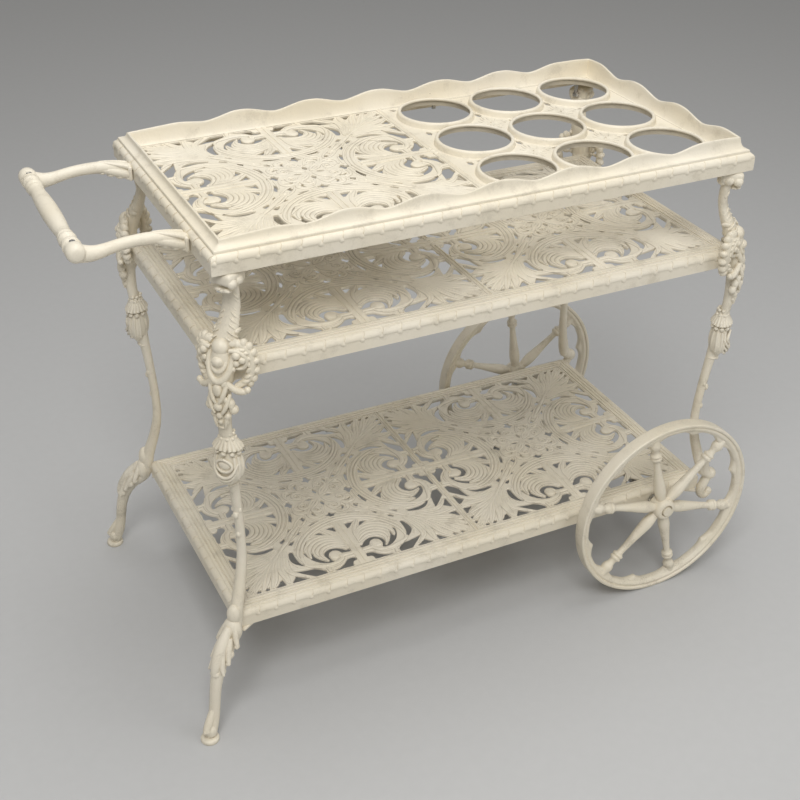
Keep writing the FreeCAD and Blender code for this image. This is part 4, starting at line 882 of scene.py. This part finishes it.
# The knop's middle, and its bowl as (height over the middle, radius).
KNOP_OUT, KNOP_UP = -10, 416
BOWL = [(-27, 0), (-26.5, 3), (-24.6, 4.6), (-22.4, 4.8), (-20.6, 6.4), (-18, 8.4), (-15, 10.6),
        (-11, 12.8), (-6, 14.4), (0, 15), (8, 14.6), (14, 13.6), (20, 12), (27, 10.4), (36, 8.4),
        (46, 7.6), (52, 0)]
LOBES = 9
RIB_TURNS = (0.8, 1.2, 1.8, 2.4, 3.14, 3.9, 4.5, 5.1, 5.5)


def knop_ring(bm, count, wide, deep, z, radii, start=0.0):
    """A row of small bosses round the knop."""
    for k in range(count):
        a = math.tau * (k + start) / count
        knob(bm, (wide * math.cos(a), KNOP_OUT + deep * math.sin(a), z), radii, 10, 7)


def frill_lobe(turn, off):
    """Half of one curled leaf tip, off to a side of its middle line."""
    c, s = math.cos(turn), math.sin(turn)
    return [(7 * c, KNOP_OUT + 6 * s, 466, 2),
            (9.6 * c - 2.4 * off * s, KNOP_OUT + 8 * s + 1.8 * off * c, 456, 3),
            (15 * c - 4.6 * off * s, KNOP_OUT + 11.4 * s + 3.4 * off * c, 451.5, 3.4),
            (18.6 * c - 4 * off * s, KNOP_OUT + 14 * s + 3 * off * c, 446 + 1.6 * abs(off), 2.6)]


def leaf_knop(bm):
    """The knop half-way down the leg: a frill of curled leaf tips over a bowl with a medallion and swags."""
    turned(bm, BOWL, Matrix.Translation((0, KNOP_OUT, KNOP_UP)) @ Matrix.Diagonal((1.3, 0.9, 1, 1)), 28)
    knop_ring(bm, LOBES, 16, 12, 442.5, (3.8, 3.6, 3.4), 0.25)
    knop_ring(bm, 8, 9.4, 7.8, 461.5, (3.4, 3.2, 2.8), 0.5)
    knop_ring(bm, 8, 8.6, 7.4, 468.5, (2.8, 2.6, 2.4))
    turns = [math.tau * (k + 0.25) / LOBES for k in range(LOBES)]
    strands(bm, [frill_lobe(turn, off) for turn in turns for off in (-0.7, 0.7)], sides=3, steps=5)
    swags = []
    for high, low, wide, out in ((428, 406.5, 16.6, 6.2), (420, 401, 15.4, 4.4), (412.5, 396, 13, 1.6)):
        half = [(wide, out - 10, high, 1.3), (wide * 0.86, out - 2.6, (high + low) / 2 - 1, 2),
                (wide * 0.4, out, low + 1, 2.2)]
        swags.append(half + [(-x, y, z, r) for x, y, z, r in reversed(half)])
    medallion = [(11.8 * math.sin(a), 2.2 + 2.2 * math.cos(a) ** 2, 425 + 9.6 * math.cos(a), 2)
                 for a in (math.tau * k / 10 for k in range(11))]
    strands(bm, swags + [medallion], sides=2, steps=5)
    ribs = []
    for turn in RIB_TURNS:
        s, c = math.sin(turn), math.cos(turn)
        ribs.append([(16 * s, KNOP_OUT + 10.4 * c, 437, 2), (21.4 * s, KNOP_OUT + 14.4 * c, 421, 3),
                     (16 * s, KNOP_OUT + 11 * c, 404, 1.4)])
    strands(bm, ribs, sides=2, steps=4)
    # The medallion's boss, the collar under the bowl, and buds on the rod below.
    knobs(bm, [(0, 1.6, 425, (9, 4, 7.2), 0), (0, -15.6, 388, (9, 8.6, 2.8), 0),
               (0, -8.6, 387, (3.4, 3, 3.4), 0), (0, -16.6, 334, (4.2, 3.4, 5.4), 0),
               (5, -20, 341, (2.6, 2.8, 4), 0), (0, -20, 300, (3.6, 3, 5), 0)])


# The disc foot as (height, radius).
DISC = [(0, 0), (0, 12.2), (1, 12.9), (4.2, 12.9), (6, 12), (7, 9.2), (7.2, 0)]


def handle_foot(bm):
    """The stepped knee under the bottom shelf, its leaf sheath, the scroll toe and the disc foot."""
    knobs(bm, [(0, 7, 156, (14.6, 12, 19), 0), (0, 3, 180, (10, 9.6, 16), 0),
               (15.6, 18, 141, (3.4, 4.4, 4), 0), (11, 27, 131, (5, 6, 6), 0),
               (13, 35, 122, (3, 4, 3.6), 0), (9, 42, 111, (4, 5, 6), 0), (0, 49, 107, (7.4, 5, 7), 0),
               (0, 74, 20, (6, 5.4, 6.4), 0), (0, 78, 20, (3, 2.6, 3.4), 0)])
    strands(bm, both_sides([
        [(6, 10, 168, 3.4), (11, 14, 155, 5), (14, 18, 145, 4.6), (18.5, 19, 140, 1.8)],
        [(5, 20, 152, 5), (9, 28, 138, 6), (11, 34, 127, 4.6), (16, 36, 121, 1.8)],
        [(4, 34, 138, 5), (7, 42, 121, 5), (9.4, 45, 112, 3.6), (13.6, 45.4, 107, 1.4)],
    ]) + [
        [(0, 14, 164, 6), (0, 26, 151, 8.6), (0, 38, 135, 9), (0, 47, 117, 7.6), (0, 51, 105, 4)],
        [(0, 57, 52, 4), (0, 64, 38, 6), (0, 70, 28, 6.6), (0, 75, 21, 5)],
    ], sides=3, steps=5)
    turned(bm, DISC, Matrix.Translation((0, 69, 0)), 32)
    knob(bm, (0, 67, 16), (10, 9.6, 12), 16, 12)


# The way to the wheel end in a leg's own frame.
SCROLL_ACROSS, SCROLL_OUT = 0.515, 0.857


def wheel_end_scroll(bm, side):
    """The short S-scroll that ends a wheel-end leg, turned towards the wheel end."""
    def at(ahead, z, radius):
        return (SCROLL_ACROSS * side * ahead, SCROLL_OUT * ahead, z, radius)
    upper = [at(-3, 206, 7.8), at(-1, 194, 8), at(0, 184, 8.4), at(5, 176, 9), at(12, 173, 9)]
    lower = [at(11, 168, 7), at(6, 160, 7.4), at(1, 150, 7.6), at(0, 139, 7.4), at(6, 131.5, 7),
             at(13, 132, 6.6), at(17, 138, 5)]
    strands(bm, [upper, lower], sides=4, steps=6)
    for x, y, z, radius in (at(12.5, 173, 10.4), at(15.5, 137, 6.8)):
        knob(bm, (x, y, z), radius, 18, 12)


# A lug's half width and its two ends. The knee's turn fades out over these heights, about this axis.
LUG_HALF, LUG_IN, LUG_OUT = 8, -57.5, -8
TURN_SHARE = [(162, 0), (213, 1), (592, 1), (672, 0)]
TURN_AXIS = Vector((0, -8, 0))


def leg(name, end, side, node):
    """One leg at its corner of the cart: end is -1 at the handle, side is -1 at the front."""
    bm = bmesh.new()
    limb(bm, LIMB + FOOT_LIMB if end < 0 else WHEEL_END_LIMB)
    capital(bm)
    neck(bm)
    cartouche(bm)
    leaf_knop(bm)
    for level in (MIDDLE_LEVEL, BOTTOM_LEVEL):
        rounded_block(bm, (-LUG_HALF, LUG_IN, level - 4.5), (LUG_HALF, LUG_OUT, level - 0.2), 1.5)
    if end < 0:
        handle_foot(bm)
    else:
        wheel_end_scroll(bm, side)
    for vert in bm.verts:
        turn = Matrix.Rotation(end * side * KNEE_TURN * ramp(vert.co.z, TURN_SHARE), 3, "Z")
        vert.co = TURN_AXIS + turn @ (vert.co - TURN_AXIS)
    outward = Vector((end * math.cos(LEG_ANGLE), side * math.sin(LEG_ANGLE), 0))
    corner = (TRAY_X + end * TRAY_LENGTH / 2, side * TRAY_WIDTH / 2, 0)
    place = frame_of((outward.y, -outward.x, 0), outward, (0, 0, 1), corner)
    bmesh.ops.transform(bm, matrix=place, verts=bm.verts)
    piece(name, bm, "cart", PAINT, node)


# Wheels, about their own axle, z outward. A spoke is (distance from the axle, radius), and the rim
# and the hub are (place along the axle, radius).
SPOKE = [(10, 0), (10, 6.6), (17, 6.9), (23, 8), (29, 9), (36, 9.3), (46, 8.5), (62, 7), (80, 5.6),
         (93, 5), (97, 5.2), (98.5, 7), (99.5, 8.4), (101.5, 9), (103.5, 8.5), (104.4, 7.2), (105.4, 8.3),
         (107, 9), (109, 8.6), (110.4, 6.8), (112.5, 5.6), (116, 5.3), (119, 6.2), (122, 8), (125.5, 9),
         (129, 8.8), (132, 7.8), (136, 7.4), (139, 7.4), (139, 0)]
RIM_HALF = [(8, 151.45), (9.6, 151.2), (10.25, 150.4), (10.25, 147.4), (9.8, 146.6), (8, 146.2), (7.5, 145.4),
            (7.9, 144.6), (8.5, 143.6), (8.5, 141.6), (7.6, 140), (6.2, 138.8), (5.4, 137.4), (3.8, 136.6)]
RIM = RIM_HALF + mirrored(RIM_HALF) + RIM_HALF[:1]
HUB = [(-14.5, 6.2), (-14.5, 11.5), (-13.6, 14), (-12, 15.8), (-9.5, 17), (-5, 17.4), (5, 17.4),
       (9.5, 17), (12, 15.8), (13.6, 14), (14.5, 11.8), (14.5, 10.2), (14.2, 9.8), (9.6, 9.6), (9.4, 6.2),
       (-14.5, 6.2)]
WEB_RADIUS, WEB_HALF = 140, 5.6


def web(bm, middle):
    """The rim's inner edge between two spokes: filled out at the spokes and pointed half-way."""
    def place(u, v):
        t = abs(2 * u - 1)
        rise = 2.5 + 9 * max(1 - t / 0.4, 0) ** 1.7 + 11 * max((t - 0.45) / 0.55, 0) ** 2
        a = math.pi * (v - 0.5)
        radius = WEB_RADIUS - rise * max(math.cos(a), 0) ** 0.4
        angle = middle + (2 * u - 1) * math.pi / SPOKES
        return Vector((radius * math.sin(angle), radius * math.cos(angle), WEB_HALF * math.sin(a)))
    skin(bm, 48, 8, place)


def wheel(name, side, turn, body, node):
    """A cast wheel, its first spoke turned by some degrees, on its end of the axle."""
    bm = bmesh.new()
    turned(bm, RIM, None, 120)
    turned(bm, HUB, None, 40)
    flip = 1 if side < 0 else -1
    for k in range(SPOKES):
        angle = math.radians(turn + 360 / SPOKES * k)
        spot = Vector((math.sin(angle), math.cos(angle) * flip, 0))
        turned(bm, SPOKE, spot.to_track_quat("Z", "Y").to_matrix().to_4x4(), 20)
        half = angle + math.pi / SPOKES
        web(bm, math.atan2(math.sin(half), math.cos(half) * flip))
    place = frame_of((1, 0, 0), (0, 0, -side), (0, side, 0), (WHEEL_X, side * WHEEL_Y, WHEEL_Z))
    bmesh.ops.transform(bm, matrix=place, verts=bm.verts)
    piece(name, bm, body, PAINT, node)


# The handle. An arm is (away from the fascia, height, radius), its leaf's bosses (away, height, radii),
# and half the grip and an elbow are (place along the grip, radius).
ARM = [(-2, 10, 9), (12, 15, 9), (28, 20, 8.4), (52, 22.4, 7.6), (82, 21, 7.2), (104, 15.4, 8),
       (120, 15.4, 10.6), (132, 20.5, 11.6)]
ARM_LEAF = [(5, 4.4, (6, 13, 4)), (15, 6.6, (6.6, 11, 4)), (26, 10.4, (6.4, 8.6, 3.8)),
            (37, 14.6, (6, 6.4, 3.4))]
ELBOW_OUT, ELBOW_UP = 132, 22
GRIP = [(-104, 0), (-104, 10.2), (-102.6, 11), (-98, 11), (-96.4, 10.2), (-95.4, 8.6), (-92, 8.3),
        (-89, 8.8), (-87.6, 10.4), (-85, 11.2), (-82, 10.6), (-80.4, 9.2), (-79, 9), (-77, 10),
        (-74.5, 10.4), (-72.4, 9.4), (-70, 8.9), (-60, 9.4), (-40, 10.8), (-18, 11.6), (0, 11.8)]
ELBOW = [(-14, 0), (-14, 10.8), (-13.4, 11.7), (-12.6, 11.7), (-12, 10.8), (-11.4, 10.1), (-5.4, 10.1),
         (-4.6, 11.1), (-3, 11.8), (4, 11.9), (9, 11.2), (12, 9.2), (13.6, 5.6), (14, 0)]
ALONG_GRIP = Matrix.Rotation(-math.pi / 2, 4, "X")


def handle_arm(name, side, node):
    """One arm: a pad on the fascia, leaf-shaped root, slender bent limb and rounded elbow."""
    bm = bmesh.new()
    strands(bm, [[(away, 0, z, radius) for away, z, radius in ARM]], sides=5, steps=8)
    rounded_block(bm, (0.2, -14, 0.6), (5.5, 14, 20), 2.2)
    fingers = [[(2, off, 8, 6), (12, off * 0.9, 10.5, 7), (26, off * 0.6, 16, 6.6), (44, off * 0.2, 21, 4.4)]
               for off in (-7, 0, 7)]
    strands(bm, fingers, sides=3, steps=5)
    for away, z, radii in ARM_LEAF:
        knob(bm, (away, 0, z), radii, 14, 9)
    for off in (-8, 8):
        edge = [(4, off, 18.6, 3.2), (14, off * 0.8, 22, 3.2), (28, off * 0.5, 26, 2.2),
                (40, off * 0.2, 28.4, 1)]
        strands(bm, [edge], sides=2, steps=4)
    turned(bm, ELBOW, Matrix.Translation((ELBOW_OUT, 0, ELBOW_UP)) @ ALONG_GRIP, 26)
    place = frame_of((-1, 0, 0), (0, side, 0), (0, 0, 1), (HANDLE_FACE, side * ARM_Y, TRAY_LEVEL))
    bmesh.ops.transform(bm, matrix=place, verts=bm.verts)
    piece(name, bm, "cart", PAINT, node)


def turned_grip():
    """The grip, whose second half mirrors the first."""
    bm = bmesh.new()
    turned(bm, GRIP + mirrored(GRIP[:-1]), Matrix.Translation((GRIP_X, 0, GRIP_Z)) @ ALONG_GRIP, 32)
    piece("turned_grip", bm, "cart", PAINT, "handle_grip")


# Building the cart.
shelf_surface = scroll_tile(SHELF_TILE)
tray_surface = scroll_tile(TRAY_TILE)
shelves = (("middle", MIDDLE_LEVEL), ("bottom", BOTTOM_LEVEL))
for shelf, level in shelves:
    for hand, way in (("left", -1), ("right", 1)):
        scroll_panel(f"{shelf}_{hand}_tile", shelf_surface, TRAY_X + way * SHELF_TILE[0], level + SHELF_FLOOR,
                     f"{shelf}_{hand}_panel")
scroll_panel("tray_scroll_tile", tray_surface, TRAY_X - TRAY_TILE[0], TRAY_LEVEL + TRAY_FLOOR,
             "tray_scroll_panel")
bottle_panel()
block_surface = bead_block()
border_frame("tray_border", (TRAY_LENGTH, TRAY_WIDTH), TRAY_LEVEL, TRAY_PROFILE, TRAY_FLOOR, block_surface,
             "tray_frame")
for shelf, level in shelves:
    border_frame(f"{shelf}_border", (SHELF_LENGTH, SHELF_WIDTH), level, SHELF_PROFILE, SHELF_FLOOR,
                 block_surface, f"{shelf}_frame")
for end, place_name in ((-1, "handle"), (1, "wheel")):
    for side, hand in ((-1, "front"), (1, "back")):
        leg(f"{hand}_{place_name}_end_leg", end, side, f"{hand}_{place_name}_leg")
wheel("front_cast_wheel", -1, FRONT_SPOKE_TURN, "front_wheel", "front_wheel")
wheel("back_cast_wheel", 1, BACK_SPOKE_TURN, "back_wheel", "back_wheel")
handle_arm("front_curved_arm", -1, "front_handle_arm")
handle_arm("back_curved_arm", 1, "back_handle_arm")
turned_grip()
for surface in (shelf_surface, tray_surface, block_surface, *BALLS.values()):
    bpy.data.meshes.remove(surface)

# The solids that still show: caps and brackets are painted, the axle, spacers and fasteners are steel.
PAINTED_ENDS = ("_cap", "_bracket")
for name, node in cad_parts.items():
    if not node.hide_render:
        node.data.materials.clear()
        node.data.materials.append(PAINT if name.endswith(PAINTED_ENDS) else STEEL)


# Stage, light and camera, in metres.
FLOOR_HALF = 30


def pale_floor():
    """A wide grey floor with a faint speckle."""
    bm = bmesh.new()
    bmesh.ops.create_grid(bm, x_segments=1, y_segments=1, size=FLOOR_HALF)
    mesh = bpy.data.meshes.new("floor")
    bm.to_mesh(mesh)
    bm.free()
    finish = Finish("pale_floor")
    speckle = finish.noise(60, 2)
    grey = finish.blend(speckle, (0.50, 0.50, 0.495, 1), (0.525, 0.525, 0.52, 1))
    mesh.materials.append(finish.set(Base_Color=grey, Roughness=0.85))
    floor = bpy.data.objects.new("floor", mesh)
    bpy.context.scene.collection.objects.link(floor)


def softbox(name, spot, target, size, watts):
    """A round soft lamp at a spot, aimed at a target, in metres."""
    lamp = bpy.data.lights.new(name, "AREA")
    lamp.shape = "DISK"
    lamp.size = size
    lamp.energy = watts
    holder = bpy.data.objects.new(name, lamp)
    holder.location = spot
    holder.rotation_euler = (Vector(target) - Vector(spot)).to_track_quat("-Z", "Y").to_euler()
    bpy.context.scene.collection.objects.link(holder)


# The camera's place in metres, its aim and roll in degrees, and its lens in millimetres.
CAMERA_SPOT = (-0.7463, -1.4820, 1.3591)
CAMERA_AZIMUTH, CAMERA_ELEVATION, CAMERA_ROLL = 26.628, 32.317, 0.9475
CAMERA_LENS, SENSOR_WIDTH = 58.29, 36


def camera():
    """The camera, looking down on the cart from its handle end's front corner."""
    azimuth, elevation = math.radians(CAMERA_AZIMUTH), math.radians(CAMERA_ELEVATION)
    roll = math.radians(CAMERA_ROLL)
    forward = Vector((math.sin(azimuth) * math.cos(elevation), math.cos(azimuth) * math.cos(elevation),
                      -math.sin(elevation)))
    right = Vector((math.cos(azimuth), -math.sin(azimuth), 0))
    up = right.cross(forward)
    level = right * math.cos(roll) + up * math.sin(roll)
    upright = up * math.cos(roll) - right * math.sin(roll)
    data = bpy.data.cameras.new("camera")
    data.lens = CAMERA_LENS
    data.sensor_width = SENSOR_WIDTH
    holder = bpy.data.objects.new("camera", data)
    holder.matrix_world = frame_of(level, upright, -forward, CAMERA_SPOT)
    bpy.context.scene.collection.objects.link(holder)
    bpy.context.scene.camera = holder


pale_floor()
softbox("key", spot=(-1.0, -1.7, 2.9), target=(0, 0, 0.4), size=1.5, watts=49)
softbox("overhead", spot=(0.2, 0.1, 3.2), target=(0, 0, 0.4), size=2.0, watts=33)
softbox("fill", spot=(1.4, -2.2, 1.3), target=(0.1, 0, 0.35), size=1.8, watts=12)
world = bpy.data.worlds.new("studio")
world.use_nodes = True
sky = world.node_tree.nodes["Background"]
sky.inputs["Color"].default_value = (1.0, 0.985, 0.96, 1)
sky.inputs["Strength"].default_value = 0.31
bpy.context.scene.world = world
bpy.context.scene.view_settings.view_transform = "Standard"
camera()
